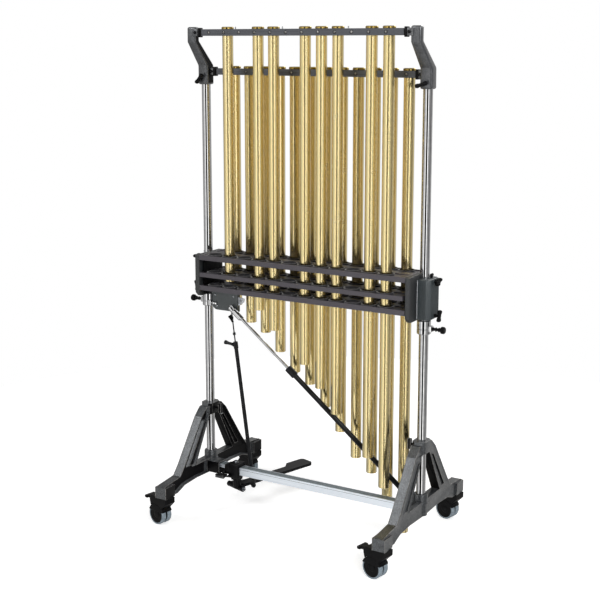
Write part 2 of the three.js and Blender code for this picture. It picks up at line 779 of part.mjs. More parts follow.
// Points and pieces given along and square to the pedal's axle, put where the axle is
function onAxle(geometry) {
  geometry.rotateZ(axleTurn);
  geometry.translate(axleX, axleY, axleHeight);
  return geometry;
}

// Pedal block clamped on the crossbar, with a stalk down to the barrel and its fixed axle
function pedalBlock() {
  const x = [-blockLeft, -blockLeft + blockWidth];
  const y = [crossbarY - crossbarDepth / 2 - blockWall, crossbarY + crossbarDepth / 2 + blockWall];
  const body = block(x, y, [crossbarHeight - blockFoot, crossbarHeight + crossbarTall + blockHead]);
  const hole = block([x[0] - cutOverrun, x[1] + cutOverrun],
    [crossbarY - crossbarDepth / 2 - touchGap, crossbarY + crossbarDepth / 2 + touchGap],
    [crossbarHeight - touchGap, crossbarHeight + crossbarTall + touchGap]);
  const stalk = block([x[0] + stalkInset, x[1] - stalkInset],
    [crossbarY - stalkDepth / 2, crossbarY + stalkDepth / 2], [axleHeight, crossbarHeight - touchGap]);
  const barrel = onAxle(rod(barrelDiameter, [-barrelLength, 0, 0], [0, 0, 0], rodSides));
  const axle = onAxle(rod(axleDiameter, [-axleLength, 0, 0], [-barrelLength / 2, 0, 0], rodSides));
  const hubSpace = onAxle(block([-axleLength - cutOverrun, -barrelLength],
    [-barrelDiameter, barrelDiameter], [-barrelDiameter, barrelDiameter]));
  return node("pedal_block", joined(cut(joined(body, stalk, barrel), hole, hubSpace), axle), blackMetal);
}

// Pedal: hub on the axle, a long arm and the plate at its end, with the pull rod's pin on its side
function pedal() {
  const hubSide = -barrelLength - touchGap;
  const hub = rod(barrelDiameter, [hubSide - hubLength, 0, 0], [hubSide, 0, 0], rodSides);
  const sole = slabZ([
    [hubSide - hubLength, 0], [hubSide, 0], [hubSide, pedalArmStart], [pedalArmRight, pedalArmBend / 2],
    [pedalArmRight, pedalPlateEnd - pedalPlateCorner], [pedalArmRight - pedalPlateCorner, pedalPlateEnd],
    [pedalPlateLeft + pedalPlateCorner, pedalPlateEnd], [pedalPlateLeft, pedalPlateEnd - pedalPlateCorner],
    [pedalPlateLeft, pedalPlateStart + pedalPlateCorner],
    [pedalArmLeft, pedalPlateStart - 2 * pedalPlateCorner],
    [pedalArmLeft, pedalArmBend], [hubSide - hubLength, pedalArmStart],
  ], -pedalThickness / 2, pedalThickness / 2);
  const pin = rod(rodPinDiameter, [pedalArmRight - cutOverrun, rodPinReach, 0], [rodPinEnd, rodPinReach, 0]);
  const bore = rod(axleDiameter + 2 * slideGap, [hubSide - 2 * hubLength, 0, 0],
    [hubSide + hubLength, 0, 0], rodSides);
  const mesh = node("pedal", cut(joined(hub, sole, pin), bore), blackMetal);
  mesh.rotation.z = axleTurn;
  mesh.position.set(axleX, axleY, axleHeight);
  return mesh;
}

// The clevis swings on the pedal's pin and carries a cross pin for the rod's foot
const clevisSpot = new THREE.Vector3(rodPinX, rodPinReach, 0)
  .applyAxisAngle(new THREE.Vector3(0, 0, 1), axleTurn).add(new THREE.Vector3(axleX, axleY, axleHeight));
const rodFootY = -(clevisPlate + rodFootPlate) / 2 - touchGap;

function pullRodClevis() {
  const eye = rod(clevisEye, [-clevisEyeWidth / 2, 0, 0], [clevisEyeWidth / 2, 0, 0], eyeSides);
  eye.rotateZ(axleTurn);
  const cheek = block([-clevisCheek / 2, clevisCheek / 2], [-clevisPlate / 2, clevisPlate / 2],
    [clevisEye / 4, clevisRise + clevisCheek / 2]);
  const pin = rod(crossPin, [0, rodFootY - rodFootPlate / 2 - touchGap, clevisRise], [0, 0, clevisRise]);
  const bore = rod(rodPinDiameter + 2 * slideGap, [-clevisEye, 0, 0], [clevisEye, 0, 0]);
  bore.rotateZ(axleTurn);
  const mesh = node("pull_rod_clevis", cut(joined(eye, cheek, pin), bore), blackMetal);
  mesh.position.copy(clevisSpot);
  return mesh;
}

// Pull rod: pieces are built upright from the cross pin, then leaned toward the crank
const rodFoot = clevisSpot.clone().add(new THREE.Vector3(0, rodFootY, clevisRise));
const rodHead = new THREE.Vector3(crankPivotX + crankReach, rodEyeY, crankHeight);
const rodLength = rodFoot.distanceTo(rodHead);
const rodLean = new THREE.Quaternion().setFromUnitVectors(
  new THREE.Vector3(0, 0, 1), rodHead.clone().sub(rodFoot).normalize());

function leaned(mesh) {
  mesh.position.copy(rodFoot);
  mesh.quaternion.copy(rodLean);
  return mesh;
}

function pullRodTube() {
  const top = rodLength * rodTubeShare;
  const tube = rod(rodTubeDiameter, [0, 0, rodFootEye / 4], [0, 0, top]);
  const foot = rod(rodFootEye, [0, -rodFootPlate / 2, 0], [0, rodFootPlate / 2, 0], rodSides);
  const nearClevis = block([-rodFootEye, rodFootEye], [rodFootPlate / 2, rodFootEye], [0, clevisRise]);
  const clamp = rod(rodClampDiameter, [0, 0, top - rodClampLength], [0, 0, top]);
  const wing = block([-rodWingLength, 0], [-rodWingThickness / 2, rodWingThickness / 2],
    [top - rodClampLength / 2 - rodWingThickness / 2, top - rodClampLength / 2 + rodWingThickness / 2]);
  const bore = rod(rodBore, [0, 0, top - rodInsert - cutOverrun], [0, 0, top + cutOverrun]);
  const pinHole = rod(crossPin + 2 * slideGap, [0, -rodFootEye, 0], [0, rodFootEye, 0]);
  const whole = cut(joined(tube, foot, clamp, wing), bore, pinHole, nearClevis);
  return leaned(node("pull_rod_tube", whole, blackMetal));
}

function pullRodUpper() {
  const bottom = rodLength * rodTubeShare - rodInsert;
  const thin = rod(rodDiameter, [0, 0, bottom], [0, 0, rodLength - (rodEyeOuter + rodEyeInner) / 4]);
  const nutMiddle = rodLength * rodNutShare;
  const nut = rod(rodNut, [0, 0, nutMiddle - rodNutLength / 2], [0, 0, nutMiddle + rodNutLength / 2], 6);
  const eye = rod(rodEyeOuter, [0, -rodEyeWidth / 2, rodLength], [0, rodEyeWidth / 2, rodLength], eyeSides);
  const bore = rod(rodEyeInner, [0, -rodEyeWidth, rodLength], [0, rodEyeWidth, rodLength], eyeSides);
  return leaned(node("pull_rod_upper", joined(thin, nut, cut(eye, bore)), blackMetal));
}

// Brace: built along +X from its foot, then turned up toward the bracket
const braceTopHeight = damperHeight - braceTopDrop;
const braceLength = Math.hypot(braceTopX - braceFootX, braceTopHeight - braceFootHeight);
const braceAngle = Math.atan2(braceTopHeight - braceFootHeight, braceTopX - braceFootX);

function braced(mesh) {
  mesh.position.set(braceFootX, braceY, braceFootHeight);
  mesh.rotation.y = -braceAngle;
  return mesh;
}

function braceEye(x) {
  return rod(braceEyeDiameter, [x, -braceEyeWidth / 2, 0], [x, braceEyeWidth / 2, 0], eyeSides);
}

function braceTube() {
  const end = braceLength * braceTubeShare;
  const tube = rod(braceTubeDiameter, [braceNeck, 0, 0], [end, 0, 0], rodSides);
  const sleeve = rod(braceSleeveDiameter, [end - braceSleeveLength, 0, 0], [end, 0, 0], rodSides);
  const neck = block([0, braceEyeDiameter], [-braceEyeWidth / 2, braceEyeWidth / 2],
    [-braceTubeDiameter / 2, braceTubeDiameter / 2]);
  const bore = rod(braceBore, [end - braceInsert - cutOverrun, 0, 0], [end + cutOverrun, 0, 0], rodSides);
  const pinHole = rod(bracePinHole, [0, -braceEyeDiameter, 0], [0, braceEyeDiameter, 0]);
  return braced(node("brace_tube", cut(joined(tube, sleeve, neck, braceEye(0)), bore, pinHole), blackMetal));
}

function braceRod() {
  const start = braceLength * braceTubeShare - braceInsert;
  const long = rod(braceRodDiameter, [start, 0, 0], [braceLength - braceNeck, 0, 0], rodSides);
  const ferrule = rod(braceFerruleDiameter, [braceLength - braceNeck - braceFerruleLength, 0, 0],
    [braceLength - braceNeck, 0, 0], rodSides);
  const neck = block([braceLength - braceEyeDiameter, braceLength], [-braceEyeWidth / 2, braceEyeWidth / 2],
    [-braceFerruleDiameter / 2, braceFerruleDiameter / 2]);
  const pinHole = rod(bracePinHole, [braceLength, -braceEyeDiameter, 0], [braceLength, braceEyeDiameter, 0]);
  return braced(node("brace_rod", cut(joined(long, ferrule, neck, braceEye(braceLength)), pinHole), chrome));
}

// Casters: built round the swivel axis, trailing toward -X, then turned and placed
function casterHood() {
  const top = padHeight - hoodTopDrop;
  const radius = wheelDiameter / 2;
  const centre = [-casterTrail, radius];
  const clear = radius + wheelClear;
  const hood = slabY([
    [hoodFront, top], [-hoodBack + hoodEdge, top], [-hoodBack, top - hoodEdge], [-hoodBack, top - hoodSkirt],
    ...arc(centre, clear,
      hoodArchTurns[0] * Math.PI, hoodArchTurns[1] * Math.PI, arcSteps + 1), [hoodFront, top - hoodSkirt],
  ], -hoodWidth / 2, hoodWidth / 2);
  const web = slabY([
    [-casterTrail + webHub, radius], [hoodFront - hoodEdge, top - hoodEdge],
    [-hoodBack + 2 * hoodEdge, top - hoodEdge], ...arc(centre, webHub, Math.PI, 2 * Math.PI, arcSteps + 1),
  ], -casterWeb / 2, casterWeb / 2);
  const stem = rod(stemDiameter, [0, 0, top - hoodEdge], [0, 0, top + stemLength]);
  const bore = rod(wheelAxleHole, [-casterTrail, -hoodWidth, radius], [-casterTrail, hoodWidth, radius]);
  return cut(joined(hood, web, stem), bore);
}

function casterWheels() {
  const radius = wheelDiameter / 2;
  const discs = [-1, 1].map((end) => rod(wheelDiameter, [-casterTrail, end * wheelSpacing / 2, radius],
    [-casterTrail, end * (wheelSpacing / 2 + wheelWidth), radius], wheelSides));
  const axle = rod(wheelAxle, [-casterTrail, -wheelSpacing, radius], [-casterTrail, wheelSpacing, radius]);
  return joined(...discs, axle);
}

function brakeLever() {
  const top = padHeight - hoodTopDrop - leverDrop;
  const start = -hoodBack - touchGap;
  return joined(
    block([start - leverLength, start], [-leverWidth / 2, leverWidth / 2], [top - leverThickness, top]),
    block([start - leverLength, start - leverLength + leverPaddle],
      [-leverPaddleWidth / 2, leverPaddleWidth / 2],
      [top - leverThickness, top]));
}

function caster(name, side, end) {
  const whole = new THREE.Group();
  whole.add(node(`caster_${name}`, casterHood(), blackPlastic));
  whole.add(node(`caster_${name}_wheels`, casterWheels(), tread));
  whole.add(node(`caster_${name}_brake`, brakeLever(), blackPlastic));
  whole.position.set(side * postX, end * footReach, 0);
  whole.rotation.z = casterTurn;
  return whole;
}

// The instrument, with its origin on the floor in the middle of its bounding box
const bells = new THREE.Group();
const semitones = Array.from({ length: tubeCount }, (_, semitone) => semitone);
for (const semitone of semitones) bells.add(bell(semitone));
bells.add(rail("upper_rail", accidentalRailHeight, frontRowY, semitones.filter(isRaised)));
const naturals = semitones.filter((semitone) => !isRaised(semitone));
bells.add(rail("lower_rail", naturalRailHeight, backRowY, naturals));
bells.add(fixedTray("damper_bottom_tray", damperHeight));
bells.add(middleTray());
bells.add(fixedTray("damper_top_tray", damperHeight + topTrayRise));
bells.add(damperBracket(), crank());
for (const [word, side] of [["left", -1], ["right", 1]]) {
  bells.add(post(`post_${word}`, side));
  bells.add(topArm(`top_arm_${word}`, side));
  bells.add(damperEnd(`damper_end_${word}`, side));
  bells.add(postClamp(`post_clamp_${word}`, side));
  bells.add(foot(`foot_${word}`, side));
  bells.add(caster(`${word}_front`, side, -1));
  bells.add(caster(`${word}_back`, side, 1));
}
bells.add(crossbar(), pedalBlock(), pedal(), pullRodClevis(), pullRodTube(), pullRodUpper());
bells.add(braceTube(), braceRod());
bells.updateMatrixWorld(true);
const bounds = new THREE.Box3().setFromObject(bells, true);
const group = new THREE.Group();
bells.position.set(-(bounds.min.x + bounds.max.x) / 2, -(bounds.min.y + bounds.max.y) / 2, -bounds.min.z);
group.add(bells);

export default group;
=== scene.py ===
import bpy, bmesh, json, math
from mathutils import Matrix, Vector

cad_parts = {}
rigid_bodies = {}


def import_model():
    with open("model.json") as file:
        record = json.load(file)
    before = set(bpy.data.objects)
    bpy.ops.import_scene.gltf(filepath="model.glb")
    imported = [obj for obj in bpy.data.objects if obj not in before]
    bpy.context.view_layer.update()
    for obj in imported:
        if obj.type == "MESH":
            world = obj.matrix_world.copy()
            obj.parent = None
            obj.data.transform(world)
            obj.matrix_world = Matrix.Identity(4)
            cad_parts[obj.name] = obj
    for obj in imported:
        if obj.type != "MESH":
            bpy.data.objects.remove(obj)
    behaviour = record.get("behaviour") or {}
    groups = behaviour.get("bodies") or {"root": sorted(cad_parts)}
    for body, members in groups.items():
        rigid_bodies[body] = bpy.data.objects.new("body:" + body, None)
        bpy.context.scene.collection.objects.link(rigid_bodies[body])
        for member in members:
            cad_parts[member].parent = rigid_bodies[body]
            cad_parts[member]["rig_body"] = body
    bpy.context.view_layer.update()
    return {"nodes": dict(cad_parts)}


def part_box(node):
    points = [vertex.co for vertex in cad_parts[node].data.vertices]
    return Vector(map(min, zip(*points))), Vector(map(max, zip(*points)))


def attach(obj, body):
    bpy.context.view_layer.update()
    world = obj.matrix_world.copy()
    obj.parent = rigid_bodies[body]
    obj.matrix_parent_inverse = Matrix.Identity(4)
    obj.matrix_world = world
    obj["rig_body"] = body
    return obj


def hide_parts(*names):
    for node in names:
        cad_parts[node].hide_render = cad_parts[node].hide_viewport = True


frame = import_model()
nodes, scene = frame["nodes"], bpy.context.scene

# Places are in millimetres from the point on the floor halfway between the posts
postBoxes = [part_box("post_left"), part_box("post_right")]
middle = sum((low + high for low, high in postBoxes), Vector()) / 4
middle.z = 0
postX = (sum(postBoxes[1], Vector()) - sum(postBoxes[0], Vector())).x * 250
sides = {"left": -1, "right": 1}


def at(x, y, z):
    return Vector((x, y, z)) / 1000 + middle


def spot(corner):
    return (corner - middle) * 1000


def limits(node):
    return [spot(corner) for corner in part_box(node)]


def bodyOf(node):
    return nodes[node]["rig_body"]


print("frame loaded, posts at", round(postX, 1))


# Colours are sRGB hex values, and this turns one to linear
def linear(code):
    channels = [int(code[i:i + 2], 16) / 255 for i in (1, 3, 5)]
    return tuple(c / 12.92 if c <= 0.04045 else ((c + 0.055) / 1.055) ** 2.4 for c in channels) + (1.0,)


def addNode(tree, kind, values=None, links=None, **settings):
    node = tree.nodes.new(kind)
    for key, value in settings.items():
        setattr(node, key, value)
    for key, value in (values or {}).items():
        node.inputs[key].default_value = value
    for key, source in (links or {}).items():
        tree.links.new(source, node.inputs[key])
    return node


# A Math node whose terms are numbers or sockets
def maths(tree, operation, *terms):
    numbers = {slot: term for slot, term in enumerate(terms) if isinstance(term, (int, float))}
    sockets = {slot: term for slot, term in enumerate(terms) if slot not in numbers}
    return addNode(tree, "ShaderNodeMath", numbers, sockets, operation=operation).outputs[0]


def startMaterial(name, shader):
    material = bpy.data.materials.new(name)
    material.use_nodes = True
    tree = material.node_tree
    tree.nodes.clear()
    principled = addNode(tree, "ShaderNodeBsdfPrincipled", shader)
    addNode(tree, "ShaderNodeOutputMaterial", links={"Surface": principled.outputs["BSDF"]})
    place = addNode(tree, "ShaderNodeTexCoord")
    return material, tree, principled, place.outputs["Object"]


# Noise as large as sizeMm, drawn out along each axis by stretch
def grain(tree, place, sizeMm, detail=3.0, stretch=(1, 1, 1)):
    scale = tuple(1000 / (sizeMm * s) for s in stretch)
    scaled = addNode(tree, "ShaderNodeMapping", {"Scale": scale}, {"Vector": place}).outputs["Vector"]
    return addNode(tree, "ShaderNodeTexNoise", {"Scale": 1.0, "Detail": detail}, {"Vector": scaled}).outputs["Fac"]


# A finish whose tint, roughness and bump (strength, height in mm) follow a fine grain (size in mm, detail, stretch);
# the last two can follow grains of their own, or cells in enamel
def finish(name, shader, fine, tints, rough, bump=None, stops=(0.3, 0.7), roughGrain=None, bumpGrain=None, cellMm=None):
    material, tree, principled, place = startMaterial(name, shader)
    tint = relief = grain(tree, place, *fine)
    if cellMm:
        relief = addNode(tree, "ShaderNodeTexVoronoi", {"Scale": 1000 / cellMm}, {"Vector": place},
            feature="SMOOTH_F1").outputs["Distance"]
        tint = addNode(tree, "ShaderNodeMix", {0: 0.35}, {2: relief, 3: tint}, data_type="FLOAT").outputs[0]
    ramp = addNode(tree, "ShaderNodeValToRGB", links={"Fac": tint})
    elements = ramp.color_ramp.elements
    for k in (0, -1):
        elements[k].position, elements[k].color = stops[k], linear(tints[k])
    for position, code in zip(stops[1:-1], tints[1:-1]):
        elements.new(position).color = linear(code)
    gloss = grain(tree, place, *roughGrain) if roughGrain else relief
    spread = addNode(tree, "ShaderNodeMapRange", {"To Min": rough[0], "To Max": rough[1]}, {"Value": gloss})
    tree.links.new(ramp.outputs["Color"], principled.inputs["Base Color"])
    tree.links.new(spread.outputs["Result"], principled.inputs["Roughness"])
    if bump:
        height = grain(tree, place, *bumpGrain) if bumpGrain else relief
        raised = addNode(tree, "ShaderNodeBump", {"Strength": bump[0], "Distance": bump[1] / 1000}, {"Height": height})
        tree.links.new(raised.outputs["Normal"], principled.inputs["Normal"])
    return material


# Lacquered brass: faint long streaks from the drawing of the tube, under a clear coat that adds white glints
lacqueredBrass = finish("lacqueredBrass", {"Metallic": 1.0, "Anisotropic": 0.75, "Coat Weight": 0.8,
    "Coat Roughness": 0.1, "Coat IOR": 1.9}, fine=(2.5, 3.0, (1, 1, 260)),
    tints=("#e4cd88", "#e9d596", "#efdda6"), stops=(0.3, 0.5, 0.7), rough=(0.23, 0.29), roughGrain=(60, 2.0))
brassTree = lacqueredBrass.node_tree
around = addNode(brassTree, "ShaderNodeTangent", direction_type="RADIAL", axis="Z")
brassTree.links.new(around.outputs["Tangent"], brassTree.nodes["Principled BSDF"].inputs["Tangent"])

# Turned brass caps: darker, painted shade and reflection of dark surroundings, with the rings that the lathe leaves
shadedTurnedBrass = finish("shadedTurnedBrass", {"Metallic": 1.0}, fine=(1.2, 2.0, (40, 40, 1)),
    tints=("#8f7a3e", "#c2ab68"), rough=(0.16, 0.3))

# Chrome plate: mirror bright, with a slight ripple
polishedChrome = finish("polishedChrome", {"Metallic": 1.0}, fine=(18, 2.0),
    tints=("#b0b1b4", "#c0c1c3"), rough=(0.03, 0.06), bump=(0.01, 0.05))

# Hammertone enamel on feet and top arms: cells of a few millimetres with raised bright rims
enamelShader = {"Coat Weight": 0.5, "Coat Roughness": 0.25}
footEnamel = finish("greyHammertone", {"Metallic": 0.6, **enamelShader}, fine=(21, 3.0), cellMm=3.0,
    tints=("#707376", "#474a4d", "#28292c"), stops=(0.1, 0.4, 0.8), rough=(0.3, 0.48), bump=(0.55, 0.4))
armEnamel = finish("darkHammertone", {"Metallic": 0.5, **enamelShader}, fine=(18.2, 3.0), cellMm=2.6,
    tints=("#707275", "#4c4e51", "#2f3033"), stops=(0.1, 0.4, 0.8), rough=(0.28, 0.42), bump=(0.55, 0.2))

# Inside of the castings: nearly black, painted shade for the hollows; also on the inner faces of the top arms and a
# sheet at the left damper end
shadeBlackInside = finish("paintedShadeInside", {"Specular IOR Level": 0.1}, fine=(4, 4.0),
    tints=("#050506", "#0e0e10"), rough=(0.45, 0.65), bump=(0.3, 0.3))

# Rims of the castings: pale metallic grey, a painted highlight along their edges; the rail screws use this grey too
rimHighlightGrey = finish("paleRimHighlightGrey", {"Metallic": 0.9}, fine=(9, 4.0),
    tints=("#5c5b5b", "#8f8e8d", "#c9c8c6"), stops=(0.3, 0.6, 0.75), rough=(0.22, 0.4))

# Powder coat on the trays: satin dark grey with fine orange peel
powderCoat = finish("satinPowderCoat", {"Metallic": 0.15, "Coat Weight": 0.2, "Coat Roughness": 0.3}, fine=(1.6, 2.0),
    tints=("#37343a", "#48444a"), rough=(0.38, 0.52), bump=(0.3, 0.12), roughGrain=(40, 3.0))

# Blue-grey anodised rails: drawn flat bar with fine lines along it
railAnodised = finish("greyAnodisedBar", {"Metallic": 0.7}, fine=(1.0, 3.0, (220, 1, 1)),
    tints=("#43454a", "#5c5e63"), rough=(0.34, 0.5), bump=(0.1, 0.1))

# Spark-textured nylon of the damper housings: fine grit
sparkTexture = finish("sparkTexturedNylon", {"IOR": 1.53}, fine=(1.1, 4.0),
    tints=("#22272a", "#32383b", "#4b5153"), stops=(0.3, 0.5, 0.72), rough=(0.4, 0.6), bump=(0.5, 0.25))

# The cheeks beside them: the same nylon, darker as painted shade
shadedCheekNylon = finish("cheekNylonPaintedShade", {"IOR": 1.53}, fine=(1.4, 4.0),
    tints=("#131416", "#232527", "#4e5052"), stops=(0.3, 0.55, 0.75), rough=(0.35, 0.6), bump=(0.6, 0.3))

# Moulded knobs, levers, hoods and wheel discs: nearly black, semi-gloss
mouldedBlack = finish("mouldedBlackNylon", {"IOR": 1.45, "Specular IOR Level": 0.14}, fine=(7, 3.0),
    tints=("#040405", "#0c0c0e"), rough=(0.3, 0.48), bump=(0.08, 0.2))

# Black enamelled steel of the crank and the thin rods
blackEnamel = finish("blackEnamelledSteel", {"Specular IOR Level": 0.3, "Coat Weight": 0.2, "Coat Roughness": 0.15},
    fine=(5, 3.0), tints=("#0a0b0c", "#161719"), rough=(0.28, 0.42), bump=(0.12, 0.2))

# Blued grey paint of the pressed damper bracket
bracketPaint = finish("bracketPaint", {"Metallic": 0.2, "Coat Weight": 0.3, "Coat Roughness": 0.3}, fine=(2.2, 2.0),
    tints=("#383d3f", "#4b5052"), rough=(0.36, 0.5), bump=(0.25, 0.15), roughGrain=(30, 3.0))

# Satin black steel of the brace tube, the pull rod's tube and the pedal
satinBlack = finish("satinBlackTube", {"Metallic": 0.1, "Specular IOR Level": 0.2}, fine=(1.5, 3.0, (8, 8, 8)),
    tints=("#0d0e10", "#1b1c1f"), rough=(0.26, 0.42), bump=(0.12, 0.2), bumpGrain=(3, 3.0))

# Tread of the casters: soft grey polyurethane, scuffed
greyTread = finish("greyPolyurethane", {"IOR": 1.5}, fine=(6, 4.0), tints=("#66727b", "#8b97a0"),
    rough=(0.5, 0.7), bump=(0.1, 0.2))

# Anodised aluminium bar: extruded, so its faint lines run along X
anodised = finish("anodisedAluminium", {"Metallic": 1.0}, fine=(0.8, 3.0, (400, 1, 1)),
    tints=("#cfd8e3", "#e9eff6"), rough=(0.28, 0.42), bump=(0.06, 0.1))

# Slot along the top of that bar: a flat strip, darker as painted shade in the slot
slotShadeAnodised = finish("anodisedSlotShade", {"Metallic": 0.8}, fine=(0.8, 3.0, (400, 1, 1)),
    tints=("#7c868b", "#949ea3"), rough=(0.4, 0.55))

# Black wool felt of the damper collars
blackFelt = finish("blackWoolFelt", {"Sheen Weight": 0.5, "Sheen Roughness": 0.4}, fine=(0.9, 5.0),
    tints=("#17171a", "#37363a"), rough=(0.85, 1.0), bump=(0.6, 0.5))

# Zinc-plated screws and studs
zincPlate = finish("zincPlatedSteel", {"Metallic": 1.0}, fine=(3, 2.0), tints=("#7d8085", "#b2b5ba"), rough=(0.18, 0.4))

# Blackened screws of the sockets
blackOxide = finish("blackOxideSteel", {"Metallic": 0.8}, fine=(2, 3.0), tints=("#121214", "#2c2c2f"),
    rough=(0.25, 0.45))
print("materials made")


def link(thing):
    scene.collection.objects.link(thing)
    return thing


# Pieces are meshes whose place is in their points
def setPiece(name, mesh, material, body="frame", replaced=(), smooth=35):
    piece = link(bpy.data.objects.new(name, mesh))
    if material:
        mesh.materials.clear()
        mesh.materials.append(material)
    mesh.polygons.foreach_set("use_smooth", [True] * len(mesh.polygons))
    mesh.set_sharp_from_angle(angle=math.radians(smooth))
    if replaced:
        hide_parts(*replaced)
    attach(piece, body)
    return piece


def meshFrom(name, build):
    mesh = bpy.data.meshes.new(name)
    shape = bmesh.new()
    build(shape)
    bmesh.ops.remove_doubles(shape, verts=shape.verts, dist=1e-6)
    bmesh.ops.recalc_face_normals(shape, faces=shape.faces)
    shape.to_mesh(mesh)
    shape.free()
    return mesh


def make(name, build, *rest):
    setPiece(name, meshFrom(name, build), *rest)


# A lathe: the profile is radius and height in mm, and squash flattens the section
def turned(shape, profile, sides, move, squash=1.0):
    rings = []
    turns = [2 * math.pi * i / sides for i in range(sides)]
    for radius, height in profile:
        points = [(radius * math.cos(turn), squash * radius * math.sin(turn), height) for turn in turns]
        if radius < 0.001:
            points = [(0, 0, height)]
        rings.append([shape.verts.new(move @ (Vector(point) / 1000)) for point in points])
    for lower, upper in zip(rings, rings[1:]):
        for i in range(sides):
            j = (i + 1) % sides
            corners = [lower[i % len(lower)], lower[j % len(lower)], upper[j % len(upper)], upper[i % len(upper)]]
            corners = [c for k, c in enumerate(corners) if c not in corners[:k]]
            if len(corners) > 2:
                shape.faces.new(corners)


# Edges rounded, each taken once and in order
def rounded(shape, edges, width, steps):
    edges = list(dict.fromkeys(edges))
    bmesh.ops.bevel(shape, geom=edges, offset=width / 1000, segments=steps, affect="EDGES", profile=0.5)


def box(shape, low, high, bevel=0.0, steps=2):
    low, high = at(*low), at(*high)
    move = Matrix.Translation((low + high) / 2) @ Matrix.Diagonal((high - low).to_4d())
    made = bmesh.ops.create_cube(shape, size=1.0, matrix=move)
    if bevel:
        rounded(shape, [edge for vert in made["verts"] for edge in vert.link_edges], bevel, steps)


def upright(x, y, z):
    return Matrix.Translation(at(x, y, z))


# A turned piece's Z runs along direction, from start
def aim(start, direction):
    return upright(*start) @ Vector(direction).to_track_quat("Z", "Y").to_matrix().to_4x4()


# An outline in mm, pushed along the third axis by depth, moved by a matrix, with its edges rounded
def pushed(shape, outline, depth, move, bevel=0.0, steps=2):
    layers = [[shape.verts.new(move @ (Vector((a, b, c)) / 1000)) for a, b in outline] for c in (0, depth)]
    faces = [shape.faces.new(layer) for layer in layers]
    for i in range(len(outline)):
        j = (i + 1) % len(outline)
        faces.append(shape.faces.new((layers[0][i], layers[0][j], layers[1][j], layers[1][i])))
    bmesh.ops.recalc_face_normals(shape, faces=faces)
    if bevel:
        rounded(shape, [edge for face in faces for edge in face.edges], bevel, steps)


# Axes for outlines: the first two as given, and the push along their cross product
def plane(origin, first, second):
    first, second = Vector(first).normalized(), Vector(second).normalized()
    return upright(*origin) @ Matrix((first, second, first.cross(second))).transposed().to_4x4()


# Points round a circle, at turns in degrees
def arc(radius, turns):
    return [(radius * math.cos(math.radians(turn)), radius * math.sin(math.radians(turn))) for turn in turns]


# A CAD node's mesh with the points of its facets merged
def mergedShape(mesh):
    shape = bmesh.new()
    shape.from_mesh(mesh)
    bmesh.ops.remove_doubles(shape, verts=shape.verts, dist=2e-5)
    return shape


def roundEdges(piece, width, steps, angle):
    bevel = piece.modifiers.new("bevel", "BEVEL")
    bevel.width = width / 1000
    bevel.segments = steps
    bevel.limit_method = "ANGLE"
    bevel.angle_limit = math.radians(angle)


# A CAD solid with its edges rounded: a merged copy takes the node's place
def refined(node, material, width, name, angle=25, steps=2):
    mesh = nodes[node].data.copy()
    shape = mergedShape(mesh)
    bmesh.ops.dissolve_limit(shape, angle_limit=math.radians(1.5), verts=shape.verts, edges=shape.edges)
    shape.to_mesh(mesh)
    shape.free()
    roundEdges(setPiece(name, mesh, material, bodyOf(node), [node]), width, steps, angle)


# Geometry Nodes: startTree gives the tree, its inputs and a maker of nodes that returns a node's first output; grown
# runs a tree on points
def startTree(name, sockets):
    tree = bpy.data.node_groups.new(name, "GeometryNodeTree")
    tree.interface.new_socket("Geometry", in_out="OUTPUT", socket_type="NodeSocketGeometry")
    tree.interface.new_socket("Points", in_out="INPUT", socket_type="NodeSocketGeometry")
    for label, kind in {**sockets, "Finish": "Material"}.items():
        tree.interface.new_socket(label, in_out="INPUT", socket_type="NodeSocket" + kind)

    def add(kind, links=None, values=None, **settings):
        kind = kind if "Node" in kind else "GeometryNode" + kind
        return addNode(tree, kind, values, links, **settings).outputs[0]

    return tree, addNode(tree, "NodeGroupInput").outputs, add


def endTree(tree, made, finish):
    realised = addNode(tree, "GeometryNodeRealizeInstances", links={"Geometry": made})
    finished = addNode(tree, "GeometryNodeSetMaterial", links={"Geometry": realised.outputs[0], "Material": finish})
    addNode(tree, "NodeGroupOutput", links={"Geometry": finished.outputs[0]})


def joined(tree, *parts):
    node = addNode(tree, "GeometryNodeJoinGeometry")
    for part in parts:
        tree.links.new(part, node.inputs[0])
    return node.outputs[0]


def grown(name, points, tree, values, body="frame", edges=()):
    seed = link(bpy.data.objects.new(name, bpy.data.meshes.new(name)))
    seed.data.from_pydata([at(*point) for point in points], edges, [])
    modifier = seed.modifiers.new("grow", "NODES")
    modifier.node_group = tree
    for item in tree.interface.items_tree:
        if item.item_type == "SOCKET" and item.in_out == "INPUT" and item.name in values:
            modifier[item.identifier] = values[item.name]
    mesh = bpy.data.meshes.new_from_object(seed.evaluated_get(bpy.context.evaluated_depsgraph_get()))
    bpy.data.objects.remove(seed)
    return setPiece(name, mesh, None, body)


# Slotted screws: on each point a low dome with a slot, turned at random
screwTree, given, add = startTree("slottedScrews", {"Head Radius": "Float", "Head Height": "Float",
    "Slot Width": "Float", "Facing": "Vector", "Seed": "Int"})
ball = add("MeshUVSphere", {"Radius": given["Head Radius"]}, {"Segments": 20, "Rings": 10})
flat = add("ShaderNodeCombineXYZ", {"Z": maths(screwTree, "DIVIDE", given["Head Height"], given["Head Radius"])},
    {"X": 1.0, "Y": 1.0})
dome = add("Transform", {"Geometry": ball, "Scale": flat})
slotSize = add("ShaderNodeCombineXYZ", {"X": maths(screwTree, "MULTIPLY", given["Head Radius"], 3.0),
    "Y": given["Slot Width"], "Z": given["Head Height"]})
lift = add("ShaderNodeCombineXYZ", {"Z": given["Head Height"]})
slot = add("Transform", {"Geometry": add("MeshCube", {"Size": slotSize}), "Translation": lift})
head = add("MeshBoolean", {"Mesh 1": dome, "Mesh 2": slot})
anyTurn = add("FunctionNodeRandomValue", {"Seed": given["Seed"]}, {"Max": (0, 0, 3.14)},
    data_type="FLOAT_VECTOR")
facing = add("FunctionNodeAlignRotationToVector", {"Vector": given["Facing"]}, axis="Z")
